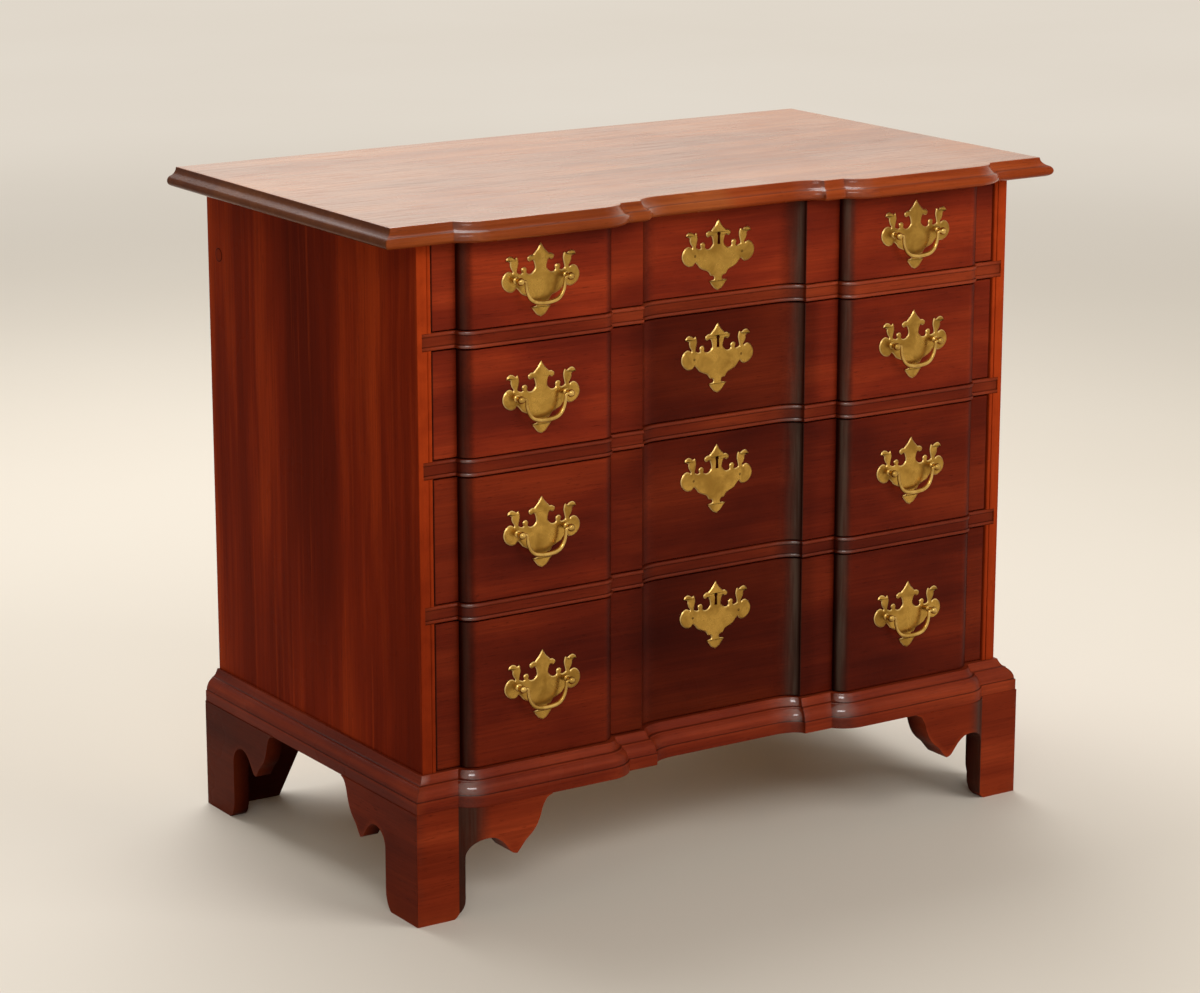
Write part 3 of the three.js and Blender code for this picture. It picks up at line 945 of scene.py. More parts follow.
@dataclass
class TopBoard:
    """The top, with a bullnose under a small step and a hollow along its front and ends."""

    base: float = CASE.high
    thickness: float = 0.022
    half_width: float = 0.457
    overhang: float = 0.025
    back: float = CASE.back
    reach: float = 0.01275
    soft: float = 0.0009
    snip: float = 0.001
    rim_share: float = 0.4
    profile: Pairs = (
        (0.47, 0.0), (0.2, 0.08), (0.05, 0.18), (0.0, 0.3), (0.05, 0.42), (0.17, 0.51),
        (0.3, 0.555), (0.45, 0.59), (0.62, 0.65), (0.77, 0.735), (0.88, 0.84), (0.93, 0.95),
    )
    corners: tuple[int, ...] = (6,)

    def edge(self) -> np.ndarray:
        """The moulded edge: the profile, a quarter ellipse over its upper corner, and a rim.

        Returns:
            n by 2: inset as a share of the reach, and height as a share of the thickness.
        """
        edge = curve_with_corners(np.array(self.profile), list(self.corners), per_span=5)
        t = np.linspace(0, math.pi / 2, 5)[1:]
        lip = np.stack([
            edge[-1, 0] + (1 - np.cos(t)) * self.soft / self.reach,
            edge[-1, 1] + np.sin(t) * (1 - edge[-1, 1]),
        ], axis=-1)
        return np.concatenate([edge, lip, lip[-1:] + (self.rim_share, 0.0)])

    def marks(
        self, plan: np.ndarray, share: np.ndarray, front_points: int
    ) -> dict[str, np.ndarray]:
        """Worn on the bullnose and the upper edge; painted shade in the groove, where the front
        turns away and on the top's right; the ends darker as end grain and by painted shade; red
        along the front, and glossy on top towards the left.

        Args:
            plan: rows by points by 2 places.
            share: each row's height as a share of the thickness.
            front_points: how many points of a row are on the front.

        Returns:
            The marks.
        """
        x = plan[..., 0]
        crest = bell(share, 0.3, 0.15, 0.2) + bell(share, 0.97, 0.02, 0.2)
        groove = bell(share, 0.56, 0.02, 0.4)[:, None]
        flat = (np.arange(len(share)) >= len(share) - 2)[:, None]
        front = (np.arange(plan.shape[1]) < front_points)[None, :]
        away = np.where(front, turned_away(plan), 0.0)
        # Painted shade in the groove, where the front turns away and a little on the whole edge;
        # more on the ends, whose end grain is darker too.
        edge_shade_and_end_grain = np.clip(groove + away * 0.3 + np.where(front, 0.2, 0.7), 0, 0.75)
        return {
            "wear": crest[:, None],
            # The flat top is painted darker towards the right: painted shade.
            "shade": np.where(flat, np.clip(x * 0.5, 0, 0.2), edge_shade_and_end_grain),
            "gloss": np.where(flat, np.clip(0.93 - 0.7 * x, 0, 1), np.clip(away * 2.5, 0, 0.9)),
            "red": np.where(flat | ~front, 0.0, 0.75 + 0.25 * np.sign(x)),
        }

    def build(self) -> None:
        """Makes the board: each point of the moulded edge is a row, set in from the plan."""
        edge = self.edge()
        inset, height = edge[:, 0] * self.reach, edge[:, 1] * self.thickness + self.base
        end = self.half_width - inset
        front = TOP_PLAN.line(self.overhang - inset, end - self.snip)
        corner = TOP_PLAN.front - self.overhang + inset + self.snip
        around = row_points(
            len(edge), (end, corner), (end, 0.0), (end, self.back),
            (-end, self.back), (-end, 0.0), (-end, corner),
        )
        plan = np.concatenate([front, around], axis=1)
        marks = self.marks(plan, edge[:, 1], front.shape[1])
        piece = Surface.skin(at_heights(plan, height), **marks).build("top_board_moulded", sharp=30)
        dress(piece, TOP_WOOD.material(), "case")
        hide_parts("top_board")


@dataclass
class SideBoards:
    """The two side boards, with a bead along the inner front edge and a housing for each rail.

    The front edge's wear changes with its height. The plug's profile is in millimetres, and so
    is its shade, by the distance from its middle."""

    outer: float = CASE.half
    inner: float = CASE.inner
    front: float = CASE.front
    back: float = CASE.back
    bead: float = 0.005
    bead_depth: float = 0.0014
    groove: float = 0.0006
    soft: float = 0.0009
    wear_up: Pairs = ((0.45, 0.3), (0.56, 0.92))
    plug_y: float = 0.236
    plug_z: float = 0.682
    plug_profile: Pairs = (
        (0, -0.5), (8.2, -0.5), (8.2, 0.02), (7.7, 0.02), (7.5, 0.16), (6.5, 0.22), (0, 0.22),
    )
    plug_shade: Pairs = ((7.0, 0.15), (7.6, 0.9))

    def surface(self) -> Surface:
        """The right-hand board: a plan carried up, cut back where a rail is let in.

        Returns:
            The surface.
        """
        t = np.linspace(0, math.pi, 13)
        bead_x = self.inner + self.bead / 2 - np.cos(t) * self.bead / 2
        bead_y = self.front + self.bead_depth * (1 - np.sin(t))
        turn = np.linspace(math.pi / 2, 0, 5)
        round_x = self.outer - self.soft * (1 - np.cos(turn))
        round_y = self.front + self.soft * (1 - np.sin(turn))
        groove_x = self.inner + self.bead + self.groove
        full = np.stack([
            np.concatenate([bead_x, [groove_x], round_x, [self.outer, self.inner]]),
            np.concatenate([bead_y, [self.front], round_y, [self.back, self.back]]),
        ], axis=-1)
        count = len(bead_x) + 1
        share = np.linspace(0, 1, count)
        cut = full.copy()
        cut[:count, 0] = self.inner + np.minimum(share * 2, 1) * CASE.tongue
        cut[:count, 1] = self.front + CASE.tongue - np.maximum(share * 2 - 1, 0) * CASE.tongue
        rows, heights = [full], [CASE.low]
        for low in CASE.rail_lows:
            high = low + CASE.rail_height
            rows.extend([full, cut, cut, full])
            heights.extend([low, low, high, high])
        rows.append(full)
        heights.append(CASE.high)
        rubbed = graded(heights, self.wear_up)[:, None]
        wear = np.zeros((len(rows), len(full)))
        wear[:, :count + 2] = rubbed
        wear[:, count + 2:count + 4] = rubbed * 0.6
        return Surface.skin(at_heights(np.stack(rows), np.array(heights)), wear=wear)

    def build(self) -> None:
        """Makes both boards and the plug in the left one."""
        material = SIDE_WOOD.material()
        for side, surface in self.surface().pair():
            piece = surface.build(f"{side}_side_board", sharp=40)
            dress(piece, material, "case")
            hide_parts(f"{side}_side")
        self.plug(material)

    def plug(self, material: bpy.types.Material) -> None:
        """Makes the round plug near the top of the left board's back edge, with a dark joint: a
        turned disc whose axis is laid along X.

        Args:
            material: the side's finish.
        """
        disc = turned(np.array(self.plug_profile) * MM, 0.0, 0.0, 0.0, sides=40)
        ring = np.hypot(disc.points[:, 0], disc.points[:, 2]) / MM
        disc.marks["shade"] = graded(ring, self.plug_shade)
        x, y, z = disc.points.T
        disc.points = np.stack([y - self.outer, self.plug_y - x, z + self.plug_z], axis=-1)
        dress(disc.build("left_side_plug", sharp=50), material, "case")


@dataclass
class Rail:
    """A rail between two drawers, with a bead along both edges and a flat between them."""

    number: int
    low: float
    height: float = CASE.rail_height
    end: float = CASE.inner + CASE.tongue
    inner: float = CASE.inner
    back: float = CASE.rail_back
    bead: float = 0.0044
    flat_inset: float = 0.0016
    flat_steps: tuple[float, float] = (0.0005, 0.0012)
    groove: float = 0.0004
    bare_end: float = 0.005
    tip: float = 0.001
    painted_shade_across: Pairs = ((0.1, 0.2), (0.14, 0.0))
    darker_down: float = 0.08

    def build(self, material: bpy.types.Material) -> None:
        """Makes the rail: half ellipses for the beads, carried along the blocked line.

        Args:
            material: the rail's finish.
        """
        t = np.linspace(-math.pi / 2, math.pi / 2, 11)
        bead_z = self.bead / 2 * (1 + np.sin(t))
        bead_inset = self.flat_inset * (1 - np.cos(t))
        step = np.array(self.flat_steps)
        upper = self.height - self.bead
        flat_z = np.concatenate([self.bead + step, upper - step[::-1]])
        flat_inset = np.full(len(flat_z), self.flat_inset)
        rim = [self.flat_inset + LID_RIM]
        z = np.concatenate([[0.0], bead_z, flat_z, upper + bead_z, [self.height]])
        inset = np.concatenate([rim, bead_inset, flat_inset, bead_inset, rim])
        shelf = CASE_PLAN.front + CASE.tongue
        behind = row_points(
            len(z), (self.end, shelf), (self.inner, shelf), (self.inner, self.back),
            (-self.inner, self.back), (-self.inner, shelf), (-self.end, shelf),
        )
        plan = np.concatenate([CASE_PLAN.line(-inset, self.end), behind], axis=1)
        crest = np.clip(1 - inset / self.flat_inset, 0, 1)[:, None]
        groove = bell(z[:, None], np.array([[self.bead, upper]]), self.groove).sum(axis=1)[:, None]
        marks = shoulder_marks(plan, strength=0.5, gloss=crest * 0.07, shine=1.0)
        across = np.abs(plan[..., 0])
        middle = across < self.inner - self.bare_end
        marks["gloss"] *= middle * np.clip(crest, 0.1, 1.0)
        marks["bloom"] *= middle * 0.5
        # Painted shade in the hollow and in the grooves beside the beads, and a darkening that
        # grows for each lower rail.
        darkening = self.darker_down * (self.number - 1) + graded(across, self.painted_shade_across)
        marks["shade"] = np.clip(groove * 0.6 + marks["shade"] + darkening, 0, 0.8)
        marks["wear"] = np.clip(crest * 0.4 + (across > self.end - self.tip) * 0.5, 0, 1)
        plain_lids(marks)
        surface = Surface.skin(at_heights(plan, z + self.low), **marks)
        piece = surface.build(f"rail_{self.number}", sharp=42)
        dress(piece, material, "case")
        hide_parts(f"divider_{self.number}")


@dataclass
class BaseMoulding:
    """The base moulding: a plain band, a quarter round, a thin fillet and a hollow on top.

    The profile is in millimetres, and so are the places of the worn ridges (height and width) and
    of the grooves with painted shade (height, width and, as a share, darkness)."""

    half: float = CASE.half
    inner: float = CASE.inner
    back: float = CASE.back
    inner_back: float = CASE.rail_back
    gap: float = CASE.mitre_gap
    corner: float = 0.0015
    profile: Pairs = (
        (19.6, 131.0), (19.6, 143.6), (19.4, 144.2), (18.4, 144.4), (18.3, 145.0), (17.9, 148.0),
        (16.6, 151.6), (14.6, 154.8), (12.2, 157.2), (10.9, 158.2), (10.7, 159.3), (9.2, 159.6),
        (7.2, 161.2), (5.4, 163.8), (4.0, 166.8), (3.4, 168.4), (3.0, 169.0),
    )
    corners: tuple[int, ...] = (1, 2, 3, 4, 9, 10, 11, 15)
    ridges: Pairs = ((143.8, 0.9), (152.5, 3.0), (159.0, 0.5))
    grooves: tuple[Triple, ...] = ((144.7, 0.5, 0.7), (159.9, 0.5, 0.6))
    band_top: float = 144.0

    def front_piece(self, offset: np.ndarray, z: np.ndarray) -> Surface:
        """The front piece: each point of the profile is a row, pushed out along the blocked line.

        Args:
            offset: how far each row stands out from the case.
            z: each row's height.

        Returns:
            The surface.
        """
        outside = CASE_PLAN.line(offset, self.half + offset - self.gap)
        edge, front = self.half - self.gap, CASE_PLAN.front
        behind = row_points(
            len(z), (edge, front), (self.inner, front), (self.inner, self.inner_back),
            (-self.inner, self.inner_back), (-self.inner, front), (-edge, front),
        )
        plan = np.concatenate([outside, behind], axis=1)
        crest, groove = self.wear_and_groove_shade(z)
        marks = shoulder_marks(plan, strength=0.4, gloss=0.03, shine=1.0)
        marks["bloom"] *= 0.15
        marks["gloss"] *= np.where(z / MM > self.band_top, 1.0, 0.2)[:, None]
        # Painted shade in the grooves and on the shoulders.
        marks["shade"] = np.clip(groove + marks["shade"], 0, 0.8)
        corner = np.abs(plan[..., 0]) > self.half + offset[:, None] - self.corner
        wear = np.clip(crest + corner * 0.9, 0, 1)
        return Surface.skin(at_heights(plan, z), wear=wear, **marks)

    def side_piece(self, offset: np.ndarray, z: np.ndarray) -> Surface:
        """The right side piece: the same rows, mitred in front and straight along the side.

        Args:
            offset: how far each row stands out from the case.
            z: each row's height.

        Returns:
            The surface.
        """
        outside = self.half + offset
        plan = row_points(
            len(z), (self.half, CASE_PLAN.front + self.gap),
            (outside, CASE_PLAN.front - offset + self.gap), (outside, 0.0),
            (outside, self.back), (self.half, self.back),
        )
        crest, groove = self.wear_and_groove_shade(z)
        # Painted shade in the grooves.
        return Surface.skin(at_heights(plan, z), wear=crest, shade=groove)

    def wear_and_groove_shade(self, z: np.ndarray) -> tuple[np.ndarray, np.ndarray]:
        """How worn each row is, and how much painted shade it takes: peaks at the ridges and at the
        grooves.

        Args:
            z: each row's height.

        Returns:
            The wear and the painted shade, as rows by 1.
        """
        height = z[:, None] / MM
        crest = sum(bell(height, *ridge) for ridge in self.ridges) * 0.3
        return crest, sum(bell(height, *groove) for groove in self.grooves)

    def build(self, material: bpy.types.Material, side_material: bpy.types.Material) -> None:
        """Makes the front piece and the two side pieces.

        Args:
            material: the front piece's finish.
            side_material: the side pieces' finish, with its grain along them.
        """
        line = curve_with_corners(np.array(self.profile) * MM, list(self.corners), per_span=4)
        sides = self.side_piece(*line.T).pair()
        for side, surface in (("front", self.front_piece(*line.T)), *sides):
            piece = surface.build(f"{side}_base_moulding", sharp=28)
            finish = material if side == "front" else side_material
            dress(piece, finish, "case")
            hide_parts(f"base_moulding_{side}")


@dataclass(frozen=True)
class Scroll:
    """Distances from a foot's corner: to the post's inner edge, to the hanging point and to the
    bracket's end."""

    post: float
    pendant: float
    reach: float


@dataclass
class BracketFeet:
    """Scrolled bracket feet: two mitred faces in front, and one face with a brace behind.

    The toe, the arch and the ogee are shares of their run and of the foot's height. The brace
    reaches in from the outside by brace_low at the floor and by brace_high at its top."""

    projection: float = 0.0206
    thickness: float = 0.020
    height: float = CASE.low
    back: float = CASE.back
    gap: float = CASE.mitre_gap
    front_scroll: Scroll = Scroll(0.059, 0.1205, 0.168)
    side_scroll: Scroll = Scroll(0.070, 0.127, 0.170)
    brace_low: float = 0.086
    brace_high: float = 0.156
    brace_front: float = 0.023
    brace_back: float = 0.005
    toe_run: float = 0.011
    top_gap: float = 0.0002
    toe: Pairs = ((1, 0), (0.5, 0.04), (0.16, 0.1), (0, 0.19), (0, 0.52))
    arch: Pairs = (
        (0.03, 0.61), (0.12, 0.67), (0.25, 0.705), (0.4, 0.717), (0.55, 0.705),
        (0.69, 0.66), (0.8, 0.6), (0.9, 0.545), (1, 0.53),
    )
    ogee: Pairs = (
        (0.1, 0.57), (0.24, 0.63), (0.43, 0.69), (0.56, 0.75), (0.66, 0.83),
        (0.72, 0.9), (0.84, 0.97), (1, 1),
    )

    @property
    def outside(self) -> float:
        """The X of the right feet's outer faces."""
        return CASE.half + self.projection

    def lower_edge(self, scroll: Scroll) -> np.ndarray:
        """The scrolled lower edge: shares of the toe, the arch and the ogee, laid between the
        scroll's distances and smoothed up to the hanging point.

        Args:
            scroll: where the post, the hanging point and the bracket end.

        Returns:
            n by 2: distance from the foot's corner, and height.
        """
        post, pendant = scroll.post, scroll.pendant
        toe = np.array(self.toe) * (-self.toe_run, self.height) + (post, 0)
        arch = np.array(self.arch) * (pendant - post, self.height) + (post, 0)
        ogee = np.array(self.ogee) * (scroll.reach - pendant, self.height) + (pendant, 0)
        points = np.concatenate([toe, arch, ogee])
        tip = len(toe) + len(arch) - 1
        line = curve_with_corners(points, [tip], per_span=6)
        line[:, 0] = np.maximum.accumulate(line[:, 0])
        line[:, 1] = np.minimum(line[:, 1], self.height - self.top_gap)
        start = np.array([[0.0, 0.0], [self.thickness, 0.0]])
        return np.concatenate([start, line])

    def board(
        self, edge: np.ndarray, face: np.ndarray, rear: np.ndarray, shade: np.ndarray | float = 0.0,
        bloom: np.ndarray | float = 0.0,
    ) -> Surface:
        """A board that hangs from its straight top edge down to the scrolled lower edge.

        Its cross-section at each distance is a rectangle: the faces' places in plan, from the
        lower edge's height to the top.

        Args:
            edge: n by 2, distance and height of the lower edge.
            face: n by 2 places of the outer face in plan.
            rear: n by 2 places of the inner face in plan.
            shade: painted shade at each station of the outer face.
            bloom: painted grey sheen at each station of the outer face.

        Returns:
            The surface.
        """
        t = np.linspace(0, 1, 7)[None, :, None]
        low, high = edge[:, 1][:, None, None], self.height
        z = low + (high - low) * t
        shape = (*z.shape[:2], 2)
        outer = np.concatenate([np.broadcast_to(face[:, None, :], shape), z], axis=-1)
        inner = np.concatenate([np.broadcast_to(rear[:, None, :], shape), z], axis=-1)
        rings = np.concatenate([outer, inner[:, ::-1]], axis=1)
        wear = bell((z[..., 0] - low[..., 0]) / self.height, 0.0, 0.015, 0.5)
        blank = np.zeros_like(wear)
        return Surface.skin(
            rings,
            wear=np.concatenate([wear, blank], axis=1),
            # Painted shade: the inner face is dark all over.
            shade=np.concatenate([blank + np.reshape(shade, (-1, 1)), blank + 0.88], axis=1),
            bloom=np.concatenate([blank + np.reshape(bloom, (-1, 1)), blank], axis=1),
        )

    def front_face(self) -> Surface:
        """The right front foot's front board: its face follows the blocked line, and its rear is
        straight.

        Returns:
            The surface.
        """
        edge = self.lower_edge(self.front_scroll)
        offset = np.array([self.projection])
        line = CASE_PLAN.right_half(offset, self.outside - self.gap)[0]
        distance = self.outside - line[:, 0]
        stations = np.unique(np.concatenate([edge[:, 0], distance[distance < edge[-1, 0]]]))
        height = np.interp(stations, edge[:, 0], edge[:, 1])
        face_y = np.interp(stations, distance, line[:, 1])
        face = np.stack([self.outside - stations, face_y], axis=-1)
        face[0, 0] -= self.gap
        inner_x = np.minimum(self.outside - stations, self.outside - self.thickness - self.gap)
        inner_y = np.full_like(inner_x, CASE_PLAN.front - self.projection + self.thickness)
        rear = np.stack([inner_x, inner_y], axis=-1)
        away = turned_away(face[None])[0]
        beyond = stations - stations[np.argmax(away)]
        # Painted shade on the shoulder and on a band just inside it.
        shade = np.clip(away * 2.4 + bell(beyond, 0.0, 0.012) * (beyond > 0) * 0.5, 0, 0.82)
        board_edge = np.stack([stations, height], axis=-1)
        return self.board(board_edge, face, rear, shade=shade, bloom=shade * 0.5)

    def side_face(self, corner_y: float, way: int, mitred: bool) -> Surface:
        """A right foot's side board, straight along the case's side.

        Args:
            corner_y: where the foot's corner is.
            way: 1 if the board runs back from the corner, -1 if it runs forward.
            mitred: whether its corner is mitred.

        Returns:
            The surface.
        """
        edge = self.lower_edge(self.side_scroll)
        distance = edge[:, 0]
        inner_distance = np.maximum(distance, self.thickness) if mitred else distance
        outer_x, inner_x = self.outside, self.outside - self.thickness
        face = row_points(len(edge), (outer_x, corner_y + way * distance))[:, 0]
        rear = row_points(len(edge), (inner_x, corner_y + way * inner_distance))[:, 0]
        # The rear foot's board is painted darker: painted shadow.
        board = self.board(edge, face, rear, shade=0.0 if mitred else 0.5)
        if way < 0:
            board.faces = [quad[::-1] for quad in board.faces]
        return board

    def brace(self) -> Surface:
        """The right rear foot's plain brace, with a slanted edge.

        Returns:
            The surface.
        """
        inside = self.outside - self.thickness
        outline = np.array([
            (self.outside - self.brace_low, 0.0), (inside, 0.0), (inside, self.height),
            (self.outside - self.brace_high, self.height),
        ])
        brace = prism(outline, self.back - self.brace_front, self.back - self.brace_back)
        # The brace is painted almost black: painted shade.
        brace.marks["shade"] = np.full(len(brace.points), 0.9)
        return brace

    def build(self, front_wood: bpy.types.Material, side_wood: bpy.types.Material) -> None:
        """Makes all the feet.

        Args:
            front_wood: finish of the boards that run across.
            side_wood: finish of the boards that run back.
        """
        corner = CASE_PLAN.front - self.projection
        side_front = self.side_face(corner + self.gap, 1, True)
        made = {
            "front_foot_face": (self.front_face(), "front_foot_front", front_wood),
            "front_foot_side": (side_front, "front_foot_flank", side_wood),
            "rear_foot": (self.side_face(self.back, -1, False), "rear_foot_flank", side_wood),
        }
        for node, (surface, name, material) in made.items():
            for side, shape in surface.pair():
                piece = shape.build(f"{side}_{name}", sharp=38)
                dress(piece, material, "case")
                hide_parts(f"{side}_{node}")
        for side, shape in self.brace().pair():
            dress(shape.build(f"{side}_rear_foot_brace"), front_wood, "case")


# The right half of a plate's outline in millimetres, from its upper tip to its lower tip, and
# which of its points are sharp.
PLATE_HALF = np.array([
    (0, 39), (2.5, 35), (5, 31.5), (9, 27.5), (10, 26.3), (13, 26.2), (14.5, 25.5), (17, 23.5),
    (16.5, 20.5), (14, 19), (11.5, 20), (9.5, 19.5), (8, 15.5), (7.5, 11), (9.5, 8), (12, 6),
    (15, 5.5), (17.5, 6.5), (18.5, 8), (18, 11), (20, 13.5), (23, 13.5), (25, 11.5), (24.5, 9),
    (24, 7.5), (26, 6.5), (29, 7.5), (30.5, 9), (29.5, 14), (28.5, 19), (29.5, 24), (31, 26),
    (33, 24), (36, 26), (40, 27), (43.5, 25), (45, 22), (42.5, 21.5), (39.5, 20), (39.5, 17),
    (38, 13), (36, 10), (36.5, 8), (38, 9.5), (42, 10.5), (46.5, 8), (49.5, 3), (50, -1.5),
    (48.5, -6), (45, -10), (40, -12.5), (35, -12), (31.5, -8.5), (28, -12), (25, -15.5), (20, -18),
    (14, -20.5), (11.5, -24), (10, -25.5), (7, -26), (5.5, -28), (6.5, -30.5), (12.5, -31.5),
    (9, -36), (5, -40.5), (0, -43),
])
PLATE_CORNERS = [4, 18, 24, 31, 36, 42, 52, 62]


@dataclass
class Plate:
    """A brass plate with a scrolled and notched outline and a bevelled rim.

    The rim has four rows. Each is drawn in by a share of the rim's width, and lies back from the
    plate's face by a share of it, the first row right back at the wood."""

    x: float
    z: float
    back: float
    thickness: float = 0.0016
    rim: float = 0.0013
    circle_share: float = 0.8
    least_depth: float = 1e-7
    draw_shares: tuple[float, ...] = (0.0, 0.0, 0.12, 1.0)
    back_shares: tuple[float, ...] = (0.75, 0.62, 0.0)
    worn: tuple[float, ...] = (0.0, 0.6, 1.0, 0.0)

    def outline(self) -> np.ndarray:
        """The whole outline: the right half and its mirror image.

        Returns:
            n by 2 places, anticlockwise as seen from the front.
        """
        right = curve_with_corners(PLATE_HALF, PLATE_CORNERS, per_span=4)
        left = right[-2:0:-1] * (-1, 1)
        whole = np.concatenate([right, left])[::-1] * MM
        return whole + (self.x, self.z)

    def rim_width(self, line: np.ndarray, normal: np.ndarray) -> np.ndarray:
        """How wide the rim is at each point: no wider than a share of the radius of the circle
        that touches the outline there from inside.

        For a point q that the circle passes through, its radius is |q - p|² / 2 depth of q.

        Args:
            line: n by 2 places of the outline.
            normal: n by 2, its outward normals.

        Returns:
            n widths.
        """
        gap = line[None] - line[:, None]
        depth = -(gap * normal[:, None]).sum(axis=-1)
        radius = (gap**2).sum(axis=-1) / np.maximum(2 * depth, TINY)
        radius = np.where(depth > self.least_depth, radius, self.rim * 2).min(axis=1)
        return np.minimum(self.rim, self.circle_share * radius)

    def surface(self, hole: np.ndarray | None = None) -> Surface:
        """The plate: the outline carried forward, then drawn in along its normals for the rim.

        Args:
            hole: n by 2 places of a hole's outline, anticlockwise.

        Returns:
            The surface.
        """
        line = self.outline()
        step = np.roll(line, -1, axis=0) - np.roll(line, 1, axis=0)
        length = np.maximum(np.linalg.norm(step, axis=1), TINY)
        normal = np.stack([step[:, 1], -step[:, 0]], axis=-1) / length[:, None]
        draw = np.array(self.draw_shares)[:, None] * self.rim_width(line, normal)
        set_back = np.array([self.thickness / self.rim, *self.back_shares]) * self.rim
        forward = self.thickness - set_back
        ring = line[None] - normal[None] * draw[:, :, None]
        y = np.broadcast_to(self.back - forward[:, None], ring.shape[:2])
        rings = np.stack([ring[..., 0], y, ring[..., 1]], axis=-1)
        wear = np.array(self.worn)[:, None]
        if hole is None:
            return Surface.skin(rings, lid_triangles([line]), wear=wear)
        count, rows, bore = len(line), len(rings), len(hole)
        lid = lid_triangles([line, hole])
        wall = prism(hole, self.back - self.thickness, self.back).points
        start = rows * count
        back_lid = np.where(lid < count, lid, lid - count + start)[:, ::-1]
        front_lid = np.where(lid < count, lid + (rows - 1) * count, lid - count + start + bore)
        faces = [
            *grid_quads(rows, count, True).tolist(),
            *(grid_quads(2, bore, True)[:, ::-1] + start).tolist(),
            *back_lid.tolist(), *front_lid.tolist(),
        ]
        wear = np.concatenate([np.repeat(self.worn, count), np.zeros(2 * bore)])
        return Surface(np.concatenate([rings.reshape(-1, 3), wall]), faces, {"wear": wear})


def turned(profile: np.ndarray, x: float, y: float, z: float, sides: int = 28) -> Surface:
    """A solid of revolution whose axis runs towards the front: each radius carried round it, as
    (x + radius cos a, y - forward, z + radius sin a).

    Args:
        profile: n by 2, radius and distance forward, starting and ending on the axis.
        x: the axis's X.
        y: where the distance is zero.
        z: the axis's height.
        sides: points round it.

    Returns:
        The surface.
    """
    angle = np.linspace(0, 2 * math.pi, sides, endpoint=False)[None, :]
    radius, forward = profile[:, :1], profile[:, 1:]
    rings = np.stack([
        x + radius * np.cos(angle), y - forward + 0 * angle, z + radius * np.sin(angle),
    ], axis=-1)
    return Surface.skin(rings)


def tube(path: np.ndarray, radius: np.ndarray, sides: int = 14) -> Surface:
    """A round bar along a path that lies in one plane facing the front.

    Each ring lies across the path's direction: one radius along Y and one along the normal.

    Args:
        path: n by 3 places.
        radius: one radius a place.
        sides: points round it.

    Returns:
        The surface.
    """
    along = np.gradient(path, axis=0)
    along /= np.linalg.norm(along, axis=1, keepdims=True)
    first = np.tile(np.array([[0.0, 1.0, 0.0]]), (len(path), 1))
    second = np.cross(along, first)
    angle = np.linspace(0, 2 * math.pi, sides, endpoint=False)[None, :, None]
    ring = np.cos(angle) * first[:, None] + np.sin(angle) * second[:, None]
    return Surface.skin(path[:, None] + ring * radius[:, None, None])


@dataclass
class Pull:
    """A swinging pull: its plate, two posts with ball heads, and the bail between them.

    The post's profile and the grip, which is half of the bail's middle line, are in
    millimetres."""

    drawer: str
    side: str
    x: float
    z: float
    face: float
    spacing: float = 0.064
    stand: float = 0.009
    head: float = 0.0044
    head_start: float = -58.0
    pin_entry: float = 0.0022
    thin: float = 0.0019
    swell: float = 0.0007
    post_profile: Pairs = (
        (0, -0.0004), (4.4, -0.0004), (4.4, 0.5), (3.9, 1.1), (3.1, 1.5), (2.5, 2.2), (2.3, 3.6),
    )
    grip: Pairs = (
        (27.6, 0), (26.2, -0.3), (25.3, -1.6), (25.0, -5), (24.3, -10), (22.6, -15.2),
        (19.8, -19.8), (16, -23), (11.2, -24.9), (5.6, -25.8), (0, -26.1),
    )

    def post(self, x: float, front: float) -> Surface:
        """A post: washer, collar and neck as radii along its axis, and a ball as an arc.

        Args:
            x: the post's X.
            front: the Y of the plate's face.

        Returns:
            The surface.
        """
        angle = np.linspace(math.radians(self.head_start), math.pi / 2, 13)
        ball = self.head * np.stack([np.cos(angle), np.sin(angle)], axis=-1) + (0.0, self.stand)
        profile = np.concatenate([np.array(self.post_profile) * MM, ball])
        profile[-1, 0] = 0.0
        return turned(profile, x, front, self.z)

    def bail(self, front: float) -> Surface:
        """The bail: pins that point outwards into the heads, and a grip that swells below. Its
        radius grows with the cube of its depth.

        Args:
            front: the Y of the plate's face.

        Returns:
            The surface.
        """
        pin = self.spacing / 2 - self.head + self.pin_entry
        half = np.array([(pin / MM, 0), *self.grip]) * MM
        line = curve_through(np.concatenate([half * (-1, 1), half[-2::-1]]), per_span=5)
        depth = line[:, 1] / line[:, 1].min()
        path = np.stack([
            self.x + line[:, 0], np.full(len(line), front - self.stand), self.z + line[:, 1],
        ], axis=-1)
        return tube(path, self.thin + self.swell * depth**3)

    def build(self, brass: bpy.types.Material, bright: bpy.types.Material) -> None:
        """Makes the pull's pieces.

        Args:
            brass: finish of the plate.
            bright: finish of the posts and the bail.
        """
        label = f"{self.drawer}_{self.side}"
        plate = Plate(self.x, self.z, self.face)
        front = self.face - plate.thickness
        piece = plate.surface().build(f"{label}_backplate", sharp=24)
        dress(piece, brass, self.drawer)
        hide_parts(f"{label}_pull_plate")
        for number, way in enumerate((-1, 1), start=1):
            post = self.post(self.x + way * self.spacing / 2, front)
            dress(post.build(f"{label}_post_{number}", sharp=50), bright, self.drawer)
        piece = self.bail(front).build(f"{label}_swing_bail", sharp=60)
        dress(piece, bright, f"{label}_bail")
        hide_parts(f"{label}_bail")


